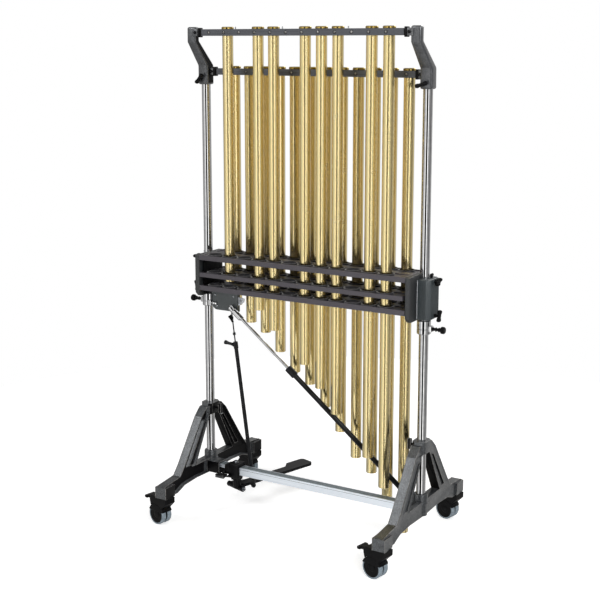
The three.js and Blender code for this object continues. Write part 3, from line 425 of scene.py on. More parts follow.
spun = add("FunctionNodeRotateRotation", {"Rotation": facing, "Rotate By": anyTurn}, rotation_space="LOCAL")
screws = add("InstanceOnPoints", {"Points": given["Points"], "Instance": head, "Rotation": spun})
endTree(screwTree, screws, given["Finish"])


def screwed(name, points, radius, height, slotWidth, facing, seed, material, body="frame"):
    grown(name, points, screwTree, {"Head Radius": radius / 1000, "Head Height": height / 1000,
        "Slot Width": slotWidth / 1000, "Facing": facing, "Seed": seed, "Finish": material}, body)


# Felt collars: a soft-cornered ring on each point
collarTree, given, add = startTree("feltCollars", {"Inner Radius": "Float", "Band": "Float", "Height": "Float"})
halfBand, corner = (maths(collarTree, "MULTIPLY", given["Band"], share) for share in (0.5, 0.3))
ringRadius = maths(collarTree, "ADD", given["Inner Radius"], halfBand)
ring = add("CurvePrimitiveCircle", {"Radius": ringRadius}, {"Resolution": 32})
section = add("CurvePrimitiveQuadrilateral", {"Width": given["Band"], "Height": given["Height"]})
soft = add("FilletCurve", {"Curve": section, "Radius": corner}, {"Count": 2}, mode="POLY")
collar = add("CurveToMesh", {"Curve": ring, "Profile Curve": soft})
endTree(collarTree, add("InstanceOnPoints", {"Points": given["Points"], "Instance": collar}), given["Finish"])

# Perforated plate: a rectangle with a round hole at each point, given some thickness
plateTree, given, add = startTree("perforatedPlate", {"Length": "Float", "Width": "Float",
    "Thickness": "Float", "Hole Radius": "Float", "Middle": "Vector"})
edge = add("CurvePrimitiveQuadrilateral", {"Width": given["Length"], "Height": given["Width"]})
hole = add("CurvePrimitiveCircle", {"Radius": given["Hole Radius"]}, {"Resolution": 36})
holes = add("RealizeInstances", {"Geometry": add("InstanceOnPoints", {"Points": given["Points"], "Instance": hole})})
edgePlaced = add("Transform", {"Geometry": edge, "Translation": given["Middle"]})
sheet = add("FillCurve", {"Curve": joined(plateTree, edgePlaced, holes)})
here = addNode(plateTree, "ShaderNodeSeparateXYZ", links={0: add("InputPosition")}).outputs
level = addNode(plateTree, "ShaderNodeSeparateXYZ", links={0: given["Middle"]}).outputs
raised = add("ShaderNodeCombineXYZ", {"X": here["X"], "Y": here["Y"], "Z": level["Z"]})
placed = add("SetPosition", {"Geometry": sheet, "Position": raised})
top = add("ExtrudeMesh", {"Mesh": placed, "Offset Scale": given["Thickness"]}, {"Individual": False})
solid = joined(plateTree, top, add("FlipFaces", {"Mesh": placed}))
endTree(plateTree, add("MergeByDistance", {"Geometry": solid}, {"Distance": 0.00001}), given["Finish"])

# Ribs: a row of small bars on the points
ribTree, given, add = startTree("gripRibs", {"Size": "Vector"})
bar = add("MeshCube", {"Size": given["Size"]})
endTree(ribTree, add("InstanceOnPoints", {"Points": given["Points"], "Instance": bar}), given["Finish"])

# Rims: round stock along the edges that the points are joined by
rimTree, given, add = startTree("castRims", {"Radius": "Float"})
stock = add("CurvePrimitiveCircle", {"Radius": given["Radius"]}, {"Resolution": 8})
rims = add("CurveToMesh", {"Curve": add("MeshToCurve", {"Mesh": given["Points"]}), "Profile Curve": stock})
endTree(rimTree, rims, given["Finish"])
print("node trees built")


# Tubes, each with a turned cap above its rail; heights are from the cap's top
tubeSettings = {"sides": 56, "radius": 19.0, "wall": 1.5, "top": -13.0, "plug": -17.0}
tubeSettings["cap"] = [(0, -0.6), (11.77, -0.3), (12.84, 0), (18.8, 0), (21.4, -2.6), (21.4, -7), (20.9, -7.5),
    (21.4, -8), (21.4, -12.4), (19.32, -15), (17, -15), (0, -15)]
tubeNames = [n for n in nodes if n.startswith("tube_")]
for nodeName in tubeNames:
    s = tubeSettings
    low, high = limits(nodeName)
    outer, inner, end = s["radius"], s["radius"] - s["wall"], low.z - high.z
    profile = [(0, s["top"]), (outer, s["top"]), (outer, end + 0.8), (outer - 0.5, end), (inner + 0.3, end),
        (inner, end + 0.5), (inner, s["plug"]), (0, s["plug"])]
    move = upright((low.x + high.x) / 2, (low.y + high.y) / 2, high.z)
    word = nodeName[len("tube_"):]
    make("bell_" + word, lambda shape: turned(shape, profile, s["sides"], move), lacqueredBrass, nodeName, [nodeName])
    # The caps' darker brass is painted shade
    make("cap_" + word, lambda shape: turned(shape, s["cap"], s["sides"], move), shadedTurnedBrass, nodeName)
print("tubes hung:", len(tubeNames))

# Posts: open chromed tubes
postSettings = {"radius": 16.0, "wall": 1.6, "sides": 56}
for word in sides:
    s = postSettings
    low, high = limits("post_" + word)
    radius, inner, length = s["radius"], s["radius"] - s["wall"], high.z - low.z
    profile = [(inner, 0), (radius - 0.4, 0), (radius, 0.5), (radius, length - 0.5), (radius - 0.4, length),
        (inner, length), (inner, 0)]
    move = upright((low.x + high.x) / 2, (low.y + high.y) / 2, low.z)
    make(f"chrome_post_{word}", lambda shape: turned(shape, profile, s["sides"], move), polishedChrome, "frame",
        ["post_" + word])

# Rails: flat bars with a slotted screw wherever a tube can hang, and small studs on the upper one
railSettings = {"pitch": 62.6, "firstSlot": 5.75, "slots": 12, "screwDrop": 11.5, "screw": (4.3, 1.8, 1.3),
    "washer": (6.2, 0.7, 0.1), "studsX": (-249.0, -59.6, 191.9), "studPlace": (-89.3, 1766.6),
    "stud": [(0, 8), (1.4, 7.6), (2, 7), (2, 0), (0, 0)]}


def slotXs(firstSlot):
    return [(railSettings["firstSlot"] - firstSlot - k) * railSettings["pitch"] for k in range(railSettings["slots"])]


for rail, firstSlot in (("upper_rail", 0.5), ("lower_rail", 0)):
    low, high = limits(rail)
    refined(rail, railAnodised, 0.6, rail + "_bar")
    for part, forward, material in (("screw", 0, rimHighlightGrey), ("washer", 0.05, blackOxide)):
        points = [(x, low.y - forward, high.z - railSettings["screwDrop"]) for x in slotXs(firstSlot)]
        screwed(f"{rail}_{part}s", points, *railSettings[part], (0, -1, 0), 5, material)


def studs(shape):
    for x in railSettings["studsX"]:
        turned(shape, railSettings["stud"], 16, upright(x, *railSettings["studPlace"]))


make("upper_rail_studs", studs, zincPlate)
print("rails screwed up")

# Top arms: a cast S in front of each post, narrower above its knee, with a clamped socket for each rail
armSettings = {"low": 20, "front": -93, "back": -67, "foot": 1573, "knee": 1641, "elbow": 1722, "head": 1775,
    "corner": 6, "inner": 21.5, "lowerWidth": 43, "upperWidth": 36, "bevel": 6.5, "panelInset": 6.0,
    "panelDepth": 1.0, "panelProud": 0.3, "bolt": [(0, 5), (2.4, 5), (2.4, 2), (4.2, 5), (5, 4.4), (5, -1), (0, -1)]}
socketSettings = [  # front and back, bottom and top of the plate, and how far from the post it starts and ends
    {"y": (-95.5, -77), "z": (1743, 1768), "x": (-10, -33.5)},
    {"y": (-5.5, 13), "z": (1607, 1632), "x": (-17, -34.5)},
]


# An outline moved inwards by a distance
def shrunk(outline, distance):
    moved = []
    area = sum(a[0] * b[1] - b[0] * a[1] for a, b in zip(outline, outline[1:] + outline[:1]))
    sign = 1 if area > 0 else -1
    for i, corner in enumerate(outline):
        before, after = Vector(outline[i - 1]), Vector(outline[(i + 1) % len(outline)])
        corner = Vector(corner)
        one, two = (corner - before).normalized(), (after - corner).normalized()
        inOne, inTwo = Vector((-one.y, one.x)) * sign, Vector((-two.y, two.x)) * sign
        moved.append(tuple(corner + (inOne + inTwo) * distance / (1 + inOne.dot(inTwo))))
    return moved


for word, side in sides.items():
    s = armSettings
    outline = [(-s["low"], s["foot"]), (s["low"], s["foot"]), (s["low"], s["knee"] + 2),
        (s["back"], s["elbow"] + s["corner"]), (s["back"], s["head"]), (s["front"], s["head"]),
        (s["front"], s["elbow"]), (-s["low"], s["knee"] - 2)]
    outline = [(side * y, z) for y, z in outline]

    def arm(shape):
        pushed(shape, outline, s["lowerWidth"], plane((side * (postX - s["inner"]), 0, 0), (0, side, 0), (0, 0, 1)))
        for vert in shape.verts:
            if vert.co.z * 1000 > s["knee"] + 20 and abs(vert.co.x - middle.x) * 1000 > postX:
                vert.co.x -= side * (s["lowerWidth"] - s["upperWidth"]) / 1000
        rounded(shape, shape.edges[:], s["bevel"], 3)

    # The inner face gets a sunken panel in the nearly black finish: painted shade
    def inside(shape):
        start = side * (postX - s["inner"] - s["panelProud"])
        pushed(shape, shrunk(outline, s["panelInset"]), s["panelDepth"], plane((start, 0, 0), (0, side, 0), (0, 0, 1)))

    def plates(shape):
        for item in socketSettings:
            x = sorted(side * (postX + reach) for reach in item["x"])
            box(shape, (x[0], item["y"][0], item["z"][0]), (x[1], item["y"][1], item["z"][1]), 1.5)

    def collars(shape):
        for item in socketSettings:
            x = sorted(side * (postX + item["x"][1] + reach) for reach in (1, -9))
            box(shape, (x[0], item["y"][0] - 1.5, item["z"][0] - 4), (x[1], item["y"][1] + 2, item["z"][1] + 4), 2)

    def bolts(shape):
        for item in socketSettings:
            middleX = side * (postX + sum(item["x"]) / 2 - 2)
            turned(shape, s["bolt"], 24, aim((middleX, item["y"][0], sum(item["z"]) / 2), (0, -1, 0)))

    make(f"top_arm_{word}_casting", arm, armEnamel, "frame", [f"top_arm_{word}"], 50)
    make(f"top_arm_{word}_inside", inside, shadeBlackInside)
    make(f"rail_sockets_{word}", plates, armEnamel)
    make(f"rail_collars_{word}", collars, mouldedBlack)
    make(f"rail_bolts_{word}", bolts, blackOxide)


# A hand screw: a neck from start along out, with a waisted bar head lying along bar
def handScrew(shape, start, out, bar, neck, length, thick, neckRadius=5):
    out, bar = Vector(out).normalized(), Vector(bar).normalized()
    turned(shape, [(0, -2), (neckRadius, -2), (neckRadius, neck * 0.4), (neckRadius * 1.25, neck * 0.45),
        (neckRadius * 1.25, neck * 0.7), (neckRadius * 0.9, neck * 0.8), (neckRadius * 0.9, neck + 3), (0, neck + 3)],
        20, aim(start, out))
    half = length / 2
    rising = [(0, -half), (thick * 0.55, -half + 0.6), (thick * 0.85, -half + 2.4), (thick, -half + 6),
        (thick * 0.92, -half + 10), (thick * 0.75, -half * 0.25)]
    profile = rising + [(thick * 0.8, 0)] + [(radius, -height) for radius, height in reversed(rising)]
    axes = Matrix((out, out.cross(bar), bar)).transposed().to_4x4()
    middleOfBar = Vector(start) + out * (neck + thick * 0.75)
    turned(shape, profile, 20, upright(*middleOfBar) @ axes, 0.72)


# Hand screws in one piece, each given as what handScrew takes after the shape
def handScrewed(name, screws, body="frame"):
    make(name, lambda shape: [handScrew(shape, *screw) for screw in screws], mouldedBlack, body)


handScrewed("top_arm_left_hand_screw", [((-443, -20, 1594), (-0.1, -1, 0), (-0.64, 0, -0.77), 6, 42, 10.5)])
handScrewed("top_arm_right_hand_screw", [((430, -20, 1588), (-0.1, -1, 0), (0.95, 0, 0.3), 6, 42, 10.5)])
print("top arms cast")

# Damper box: three trays with perforated plates and felt collars; the middle one slides, so its holes are wider and
# stand to one side
traySettings = {"holeRadius": 24.4, "slidingRadius": 25.0, "slidingShift": -3.7, "plateThickness": 2.0,
    "plateDrop": 5.0, "plateInset": 8.5, "plateWidth": 54.5, "collarBand": 4.0, "collarHeight": 9.0,
    "collarDrop": 1.5, "rows": {"front": (-66, 0.5), "back": (24, 0)}}
for tray in ("damper_bottom_tray", "damper_middle_tray", "damper_top_tray"):
    s, body = traySettings, bodyOf(tray)
    low, high = limits(tray)
    slides = tray == "damper_middle_tray"
    radius, shift = (s["slidingRadius"], s["slidingShift"]) if slides else (s["holeRadius"], 0)
    refined(tray, powderCoat, 0.9, tray + "_bars")
    for row, (rowY, firstSlot) in s["rows"].items():
        plateZ, holeXs = high.z - s["plateDrop"], [x + shift for x in slotXs(firstSlot)]
        grown(f"{tray}_{row}_plate", [(x, rowY, plateZ) for x in holeXs], plateTree,
            {"Length": (high.x - low.x - 2 * s["plateInset"]) / 1000, "Width": s["plateWidth"] / 1000,
            "Thickness": s["plateThickness"] / 1000, "Hole Radius": radius / 1000,
            "Middle": tuple(at((low.x + high.x) / 2, rowY, plateZ)), "Finish": powderCoat}, body)
        grown(f"{tray}_{row}_collars", [(x, rowY, high.z - s["collarDrop"]) for x in holeXs], collarTree,
            {"Inner Radius": radius / 1000, "Band": s["collarBand"] / 1000, "Height": s["collarHeight"] / 1000,
            "Finish": blackFelt}, body)
print("damper trays filled")

# Damper ends: a cheek darkened as painted shade, a ribbed housing clamped round the post, and hand screws on it
endSettings = {"cheek": (412, 430), "y": (-97, 55), "z": (812, 965), "chamfer": 14, "housing": (413, 475),
    "housingY": 42, "housingZ": (816, 951), "corner": 12, "ribSpacing": 2.4, "ribProud": 0.2, "frontRibs": (434, 12),
    "sideRibs": (-26, 25), "highlightBead": (432, -44.5), "highlightBeadRadius": 2.2, "panel": ((-403.4, -80, 818), (-402.88, 38, 955)),
    "upperBar": {-1: (0.2, 0.94, 0.1), 1: (0.2, 0.5, 0.84)}}
for word, side in sides.items():
    s = endSettings
    bottom, top = s["housingZ"]

    def cheek(shape):
        (front, back), (low, high), chamfer = s["y"], s["z"], s["chamfer"]
        outline = [(front, low + chamfer), (front + chamfer, low), (back - chamfer, low), (back, low + chamfer),
            (back, high), (front, high)]
        move = plane((side * s["cheek"][0], 0, 0), (0, side, 0), (0, 0, 1))
        pushed(shape, [(side * y, z) for y, z in outline], s["cheek"][1] - s["cheek"][0], move, 3, 3)

    def housing(shape):
        corner, halfDepth = s["corner"], s["housingY"]
        inner, outer = s["housing"]
        outline = [(inner, -halfDepth), (outer - corner, -halfDepth), (outer, -halfDepth + corner),
            (outer, halfDepth - corner), (outer - corner, halfDepth), (inner, halfDepth)]
        pushed(shape, [(side * x, y) for x, y in outline], top - bottom, upright(0, 0, bottom), 1.6)

    def ribs(which, size, place):
        start, count = s[which + "Ribs"]
        points = [(*place(start + k * s["ribSpacing"]), (top + bottom) / 2) for k in range(count)]
        grown(f"housing_{which}_ribs_{word}", points, ribTree,
            {"Size": (*size, (top - bottom - 5) / 1000), "Finish": sparkTexture})

    # On the left, a thin nearly black sheet inside the end: painted shade, not a part of the object
    if side < 0:
        make("damper_shade_panel_left", lambda shape: box(shape, *s["panel"]), shadeBlackInside)
    # The cheek's darker nylon is painted shade
    make(f"damper_cheek_{word}", cheek, shadedCheekNylon)
    make(f"damper_housing_{word}", housing, sparkTexture, "frame", [f"damper_end_{word}"])
    face = side * s["housing"][1]
    handScrewed(f"damper_hand_screws_{word}", [((face, 0, top - 9), (side, 0, 0), s["upperBar"][side], 7, 30, 9.5, 6),
        ((face, 0, bottom + 11), (side, 0, 0), (0.12 * side, 0, 1), 12, 42, 8.5),
        ((side * 458, 12, top - 3), (0, 0, 1), (0, 1, 0), 8, 22, 6, 4)])
    ribs("front", (0.0011, 0.001), lambda along: (side * along, -s["housingY"] - s["ribProud"]))
    ribs("side", (0.001, 0.0011), lambda along: (face + side * s["ribProud"], along))
    # A bright zinc bead down the housing's front corner: a painted highlight on that edge
    move = upright(side * s["highlightBead"][0], s["highlightBead"][1], bottom + 3)
    make(f"housing_highlight_bead_{word}", lambda shape: pushed(shape, arc(s["highlightBeadRadius"], range(0, 360, 36)),
        top - bottom - 5, move), zincPlate)
print("damper ends clamped")

# Post clamps: a chromed collar with a boss, and a black knob on a ringed neck
clampSettings = {"low": 760, "knobHeight": 780, "boss": (452, 470), "bossHalf": (9, 10), "knobStart": 469.5,
    "collar": [(16.3, 0), (21.1, 0), (23.6, 2.5), (23.6, 17), (22.6, 18), (22.6, 19.5), (23.6, 20.5), (23.6, 45.5),
    (21.1, 48), (16.3, 48), (16.3, 0)], "knob": [(0, 0), (6.5, 0), (6.5, 5), (5, 6), (5, 11), (7, 12), (7, 15),
    (5, 16), (5, 22), (7.5, 23), (7.5, 26), (5.5, 27), (5.5, 30), (9.5, 31), (11, 33), (11, 43), (9.5, 45.4), (5, 46),
    (0, 46)], "ribX": 507.5, "ribRadius": 11.2}
for word, side in sides.items():
    s = clampSettings
    knobZ = s["knobHeight"]

    def collarRing(shape):
        turned(shape, s["collar"], 48, upright(side * postX, 0, s["low"]))
        x, (halfY, halfZ) = sorted(side * reach for reach in s["boss"]), s["bossHalf"]
        box(shape, (x[0], -halfY, knobZ - halfZ), (x[1], halfY, knobZ + halfZ), 2)

    def knob(shape):
        turned(shape, s["knob"], 28, aim((side * s["knobStart"], 0, knobZ), (side, 0, 0)))

    make(f"post_collar_{word}", collarRing, polishedChrome, "frame", [f"post_clamp_{word}"])
    make(f"post_knob_{word}", knob, mouldedBlack)
    points = [(side * s["ribX"], y, knobZ + z) for y, z in arc(s["ribRadius"], range(0, 360, 15))]
    grown(f"post_knob_ribs_{word}", points, ribTree, {"Size": (0.010, 0.0012, 0.0012), "Finish": mouldedBlack})

studSettings = {"start": (-416, -16, 774), "way": (1, -0.12, 0), "foot": ((-428, -24, 764), (-414, -8, 784)),
    "profile": [(0, -2), (5, -2), (5, 6), (6, 7), (6, 16), (5, 17), (5, 20), (6, 21), (6, 25), (4.5, 26.5),
    (0, 26.5)]}


def stud(shape):
    turned(shape, studSettings["profile"], 28, aim(studSettings["start"], studSettings["way"]))
    box(shape, *studSettings["foot"], 2)


make("post_stud_left", stud, polishedChrome)

# Damper bracket with its lug and bolts, and the crank
bracketSettings = {"lug": [(-304, 808), (-272, 803), (-274, 790), (-294, 775), (-304, 782)], "lugDepth": 4,
    "lugBack": -10, "bolts": [(-288, -14, 794), (-399, -16, 806), (-318, -16, 806), (-392, -16, 764)],
    "bolt": (4.2, 2.2, 1.2)}
refined("damper_bracket", bracketPaint, 1.2, "bracket_plate")
refined("damper_crank", blackEnamel, 0.6, "crank_plate")


def lug(shape):
    s = bracketSettings
    pushed(shape, s["lug"], s["lugDepth"], plane((0, s["lugBack"], 0), (1, 0, 0), (0, 0, 1)), 0.8)


make("bracket_lug", lug, zincPlate, bodyOf("damper_bracket"))
screwed("bracket_bolts", bracketSettings["bolts"], *bracketSettings["bolt"], (0, -1, 0), 9, zincPlate,
    bodyOf("damper_bracket"))

# Brace from foot to bracket: a dark tube, a bright rod in it, and a chromed fitting at the top
refined("brace_tube", satinBlack, 0.8, "brace_sleeve", 40)
refined("brace_rod", polishedChrome, 0.5, "brace_inner", 40)
fittingSettings = {"start": (-326, -26, 765), "end": (-281, -26, 729),
    "profile": [(0, -7), (4.5, -6), (7.6, -2), (8.4, 2), (8.4, 12), (7.6, 13), (7.6, 16), (8.4, 17)]}


def fitting(shape):
    s = fittingSettings
    way = Vector(s["end"]) - Vector(s["start"])
    end = [(8.4, way.length - 4), (7.2, way.length), (0, way.length)]
    turned(shape, s["profile"] + end, 32, aim(s["start"], way))


make("brace_fitting", fitting, polishedChrome, bodyOf("brace_rod"))

# Pull rod from pedal to crank: its clevis and thin upper rod, and the tube with a clamping lever at its top
for node in ("pull_rod_clevis", "pull_rod_upper"):
    refined(node, blackEnamel, 0.5, "rod_" + node[len("pull_rod_"):], 40)
rodSettings = {"foot": (-262, 20, 100), "head": (-346, 9.3, 757), "share": (0.03, 0.807), "radius": 7.2, "sleeve": 26,
    "sleeveRadius": 8.8, "leverDrop": 14, "leverWay": (-0.82, -0.49, 0.3),
    "lever": [(0, 0), (8, 0), (9, 8), (6.5, 16), (6.8, 28), (9.5, 38), (8.5, 44), (0, 46)]}


def rodTube(shape):
    s = rodSettings
    foot, way = Vector(s["foot"]), Vector(s["head"]) - Vector(s["foot"])
    start, length = foot + way * s["share"][0], way.length * (s["share"][1] - s["share"][0])
    sleeve = length - s["sleeve"]
    turned(shape, [(0, 0), (s["radius"] - 1.5, 0), (s["radius"], 2), (s["radius"], sleeve),
        (s["sleeveRadius"], sleeve + 1), (s["sleeveRadius"], length - 2), (s["radius"], length), (0, length)], 28,
        aim(start, way))
    turned(shape, s["lever"], 20, aim(start + way.normalized() * (length - s["leverDrop"]), s["leverWay"]), 0.8)


make("rod_sleeve", rodTube, satinBlack, bodyOf("pull_rod_tube"), ["pull_rod_tube"])
handScrewed("rod_wing_screw", [((-340, 8, 716), (-0.2, -1, 0.05), (0.75, -0.2, -0.65), 3, 32, 5.2, 4.2),
    ((-340, 8, 722), (-0.2, -1, 0.05), (-0.3, 0.1, 0.95), 3, 22, 4.6, 4.2)], bodyOf("pull_rod_upper"))

# Feet: castings, open towards the tubes with nearly black hollows as painted shade, and let in on the outside, with a
# pale rim round every panel as a painted highlight
footSettings = {"x": (421, 455), "edge": 1.5, "rimWidth": 5.0, "insideDepth": 13.0, "outsideDepth": 2.5, "rim": 1.0,
    "hubScrews": [(455.5, -14, 368), (455.5, 14, 368)], "hubScrew": (5.2, 2.5, 1.4), "screwX": 416,
    "screwFrom": (-47, 300), "windowY": (20, 210), "windowZ": (172, 362), "socketZ": 165, "socketGap": 0.6,
    "socket": [(27, 0), (27, 4), (25, 6), (25, 30), (23.5, 33)]}


# Edges of a casting where its faces turned to one side end, in mm, for the rims
def rimsOf(node, sign, inset):
    shape = mergedShape(nodes[node].data)
    points, edges, seen = [], [], {}
    for edge in shape.edges:
        turnedThere = [face for face in edge.link_faces if face.normal.x * sign > 0.97]
        if len(turnedThere) != 1 or len(edge.link_faces) != 2:
            continue
        for vert in edge.verts:
            if vert.index not in seen:
                seen[vert.index] = len(points)
                points.append(spot(vert.co) - Vector((sign * inset, 0, 0)))
        edges.append([seen[vert.index] for vert in edge.verts])
    shape.free()
    return points, edges


# A foot's casting, let in by panels (place, width of the rim, depth, whether painted dark as shade) on each side; its
# hand screws are black, and the undersides in its windows are painted dark as shade
def sunken(node, name, panels):
    s, mesh = footSettings, nodes[node].data.copy()
    enamel, dark, black = range(3)
    mesh.materials.clear()
    for material in (footEnamel, shadeBlackInside, mouldedBlack):
        mesh.materials.append(material)
    shape = mergedShape(mesh)
    for face in shape.faces:
        face.material_index = enamel
    for sign, (place, rim, depth, shadedPanel) in panels.items():
        side = [face for face in shape.faces
            if face.normal.x * sign > 0.98 and abs(spot(face.calc_center_median()).x - place) < 1.5]
        bmesh.ops.inset_region(shape, faces=side, thickness=rim / 1000, depth=-depth / 1000, use_even_offset=True,
            use_boundary=True)
        # A dark panel's walls are nearly black too: painted shade in the recess
        for face in shape.faces:
            if shadedPanel and face.normal.x * sign > 0.5 and abs(spot(face.calc_center_median()).x - place) < depth + 4:
                face.material_index = dark
        for face in side:
            face.material_index = dark if shadedPanel else enamel
    for face in shape.faces:
        centre = spot(face.calc_center_median())
        if abs(centre.x) < s["screwX"] and (centre.y < s["screwFrom"][0] or centre.z > s["screwFrom"][1]):
            face.material_index = black
        # Faces turned down inside the windows are nearly black: painted shade under the casting
        inWindow = s["windowY"][0] < abs(centre.y) < s["windowY"][1] and s["windowZ"][0] < centre.z < s["windowZ"][1]
        if face.material_index == enamel and inWindow and abs(face.normal.x) < 0.5 and face.normal.z < -0.2:
            face.material_index = dark
    shape.to_mesh(mesh)
    shape.free()
    roundEdges(setPiece(name, mesh, None, bodyOf(node), [node]), s["edge"], 2, 30)


for word, side in sides.items():
    s, base = footSettings, bodyOf(f"foot_{word}")
    sunken(f"foot_{word}", f"foot_casting_{word}", {-side: (side * s["x"][0], s["rimWidth"], s["insideDepth"], True),
        side: (side * s["x"][1], s["rimWidth"], s["outsideDepth"], False)})
    # The rims are pale grey: a painted highlight along the casting's edges
    for sign in (-1, 1):
        points, edges = rimsOf(f"foot_{word}", sign, s["rim"])
        grown(f"foot_rim_{word}_{'outer' if sign == side else 'inner'}", points, rimTree,
            {"Radius": s["rim"] / 1000, "Finish": rimHighlightGrey}, base, edges)
    points = [(side * x, y, z) for x, y, z in s["hubScrews"]]
    screwed(f"foot_hub_screws_{word}", points, *s["hubScrew"], (side, 0, 0), 4, zincPlate, base)
    low, high = limits(f"post_{word}")
    bore = (high.x - low.x) / 2 + s["socketGap"]
    socket = [(bore, 0)] + s["socket"] + [(bore + 2, 33), (bore, 31.5), (bore, 0)]
    move = upright((low.x + high.x) / 2, 0, s["socketZ"])
    make(f"post_socket_{word}", lambda shape: turned(shape, socket, 40, move), footEnamel, base)
print("feet cast")

# Crossbar with its grooves and a front line drawn as black strips for painted shade, a sleeve at its left end, and the
# pedal's block clamped on it
base = bodyOf("crossbar")
low, high = limits("crossbar")
barSettings = {"inset": 22, "grooves": ((-30.5, -29.3), (-19.5, -18.3)), "depth": 0.6, "frontLine": (158.4, 159.2),
    "slot": (-38, -12), "sleeve": (-402, -327), "sleeveGrow": 3, "sleeveTop": 17,
    "bands": ((-402, -384), (-346, -327)), "bandGrow": 3.4}
refined("crossbar", anodised, 1.2, "crossbar_extrusion", 30, 3)


# Black strips on top and along the front: painted shade in the grooves
def grooveShade(shape):
    s = barSettings
    start, end = low.x + s["inset"], high.x - s["inset"]
    for front, back in s["grooves"]:
        box(shape, (start, front, high.z - s["depth"]), (end, back, high.z + 0.3))
    box(shape, (start, low.y - 0.25, s["frontLine"][0]), (end, low.y + 0.4, s["frontLine"][1]))


# The slot is a flat darker strip: painted shade
def slotStrip(shape):
    s = barSettings
    front, back = s["slot"]
    box(shape, (low.x + s["inset"], front, high.z - s["depth"]), (high.x - s["inset"], back, high.z + 0.15))


def sleeve(shape):
    s = barSettings
    grow = s["sleeveGrow"]
    box(shape, (s["sleeve"][0], low.y - grow, low.z - grow), (s["sleeve"][1], high.y + grow, low.z + s["sleeveTop"]), 2)
    grow = s["bandGrow"]
    for start, end in s["bands"]:
        box(shape, (start, low.y - grow, low.z - grow), (end, high.y + grow, high.z + grow), 2.5)


make("crossbar_sleeve", sleeve, mouldedBlack, base)
make("crossbar_groove_shade", grooveShade, blackOxide, base)
make("crossbar_slot_shade", slotStrip, slotShadeAnodised, base)

blockSettings = {"low": (-327, -50, 122), "high": (-282, 1, 178), "edge": 4.5,
    "neck": ((-321, -40, 112), (-288, -9, 124)), "stalkAt": (-303, -26, 114),
    "stalk": [(0, -34), (12, -34), (15, -24), (15, 0), (0, 0)], "axle": (-275, -28.5, 80),
    "axleWay": (-0.956, 0.294, 0), "barrel": [(0, -4), (8.8, -4), (10.8, -2), (10.8, 44), (0, 44)],
    "boltAt": (-304, -25, 177.5), "hexagon": [(0, 0), (6.5, 0), (6.5, 5), (5.4, 6.2), (0, 6.2)],
    "washer": [(0, 0), (8.2, 0), (8.2, 1.2), (0, 1.2)], "axleRing": [(6.4, 0), (8.6, 0), (8.6, 0.8), (6.4, 0.8),
    (6.4, 0)]}


def pedalBlock(shape):
    s = blockSettings
    box(shape, s["low"], s["high"], s["edge"], 3)
    box(shape, *s["neck"], 2)
    turned(shape, s["stalk"], 32, upright(*s["stalkAt"]))
    turned(shape, s["barrel"], 36, aim(s["axle"], s["axleWay"]))


def blockBolts(shape):
    s = blockSettings
    onTop, axle, way = upright(*s["boltAt"]), Vector(s["axle"]), Vector(s["axleWay"])
    turned(shape, s["hexagon"], 6, onTop)
    turned(shape, s["washer"], 28, onTop)
    turned(shape, s["hexagon"], 6, aim(axle - way * 3.5, -way))
    turned(shape, s["axleRing"], 32, aim(axle - way * 3.8, -way))


make("pedal_block_moulding", pedalBlock, mouldedBlack, base, ["pedal_block"])
make("pedal_block_bolts", blockBolts, zincPlate, base)
handScrewed("pedal_block_screw", [((-318, -49, 131), (-0.3, -1, 0), (1, 0.1, 0.1), 8, 34, 5.5, 4.5),
    ((-349, -44, 141), (0, -0.7, -0.7), (1, 0, 0), 9, 40, 6, 5)], base)

# Pedal: a satin black arm and plate with soft edges
refined("pedal", satinBlack, 1.6, "pedal_plate", 30, 3)

# Casters: black hoods and twin wheels; the profiles are one wheel's, from its inner face outwards
wheelSettings = {"halfGap": 4, "axis": (0.208, 0.978, 0), "hood": 39.6, "hoodWidth": 47, "hoodEdge": 2.5,
    "hoodTurns": range(18, 163, 6), "pin": [(0, -6), (5, -6), (5, 6), (0, 6)],
    "tread": [(31.5, 0.4), (35, 0), (36.7, 1.4), (37.5, 4), (37.5, 14), (36.7, 16.6), (35, 18), (31.5, 17.6),
    (31.5, 0.4)], "disc": [(0, 0.8), (31.3, 0.8), (32.1, 1.4), (32.1, 16.4), (30.5, 17.4), (28.5, 16), (25.5, 14.2),
    (14, 14.2), (12.5, 16), (9, 17.4), (4, 18), (0, 18)]}
for nodeName in [n for n in nodes if n.startswith("caster_")]:
    s, body, axis = wheelSettings, bodyOf(nodeName), Vector(wheelSettings["axis"])
    if not nodeName.endswith("wheels"):
        refined(nodeName, mouldedBlack, 2.4, nodeName + "_moulding", 30, 3)
        if nodeName + "_wheels" in nodes:
            low, high = limits(nodeName + "_wheels")
            outline, up = arc(s["hood"], s["hoodTurns"]), Vector((0, 0, 1))
            move = plane((low + high) / 2 + axis * s["hoodWidth"] / 2, axis.cross(up), up)
            make(nodeName + "_hood", lambda shape: pushed(shape, outline, s["hoodWidth"], move, s["hoodEdge"]),
                mouldedBlack, body)
        continue
    low, high = limits(nodeName)
    centre = (low + high) / 2
    hubMoves = [aim(centre + axis * sign * s["halfGap"], axis * sign) for sign in (-1, 1)]

    def treads(shape):
        for move in hubMoves:
            turned(shape, s["tread"], 48, move)

    def discs(shape):
        for move in hubMoves:
            turned(shape, s["disc"], 48, move)
        turned(shape, s["pin"], 16, aim(centre, axis))

    make(nodeName + "_treads", treads, greyTread, body, [nodeName])
    make(nodeName + "_discs", discs, mouldedBlack, body)
print("casters fitted")

# Camera, light and floor
cameraSettings = {"place": (2066.2, -3544.1, 1723.0), "azimuth": 30.774, "pitch": 9.919, "lens": 71.366,
    "shiftY": -0.0833}
s = cameraSettings
camera = link(bpy.data.objects.new("camera", bpy.data.cameras.new("camera")))
camera.data.lens, camera.data.shift_y, camera.data.clip_end = s["lens"], s["shiftY"], 100
camera.location = at(*s["place"])
camera.rotation_euler = (math.radians(90 - s["pitch"]), 0, math.radians(s["azimuth"]))
scene.camera = camera

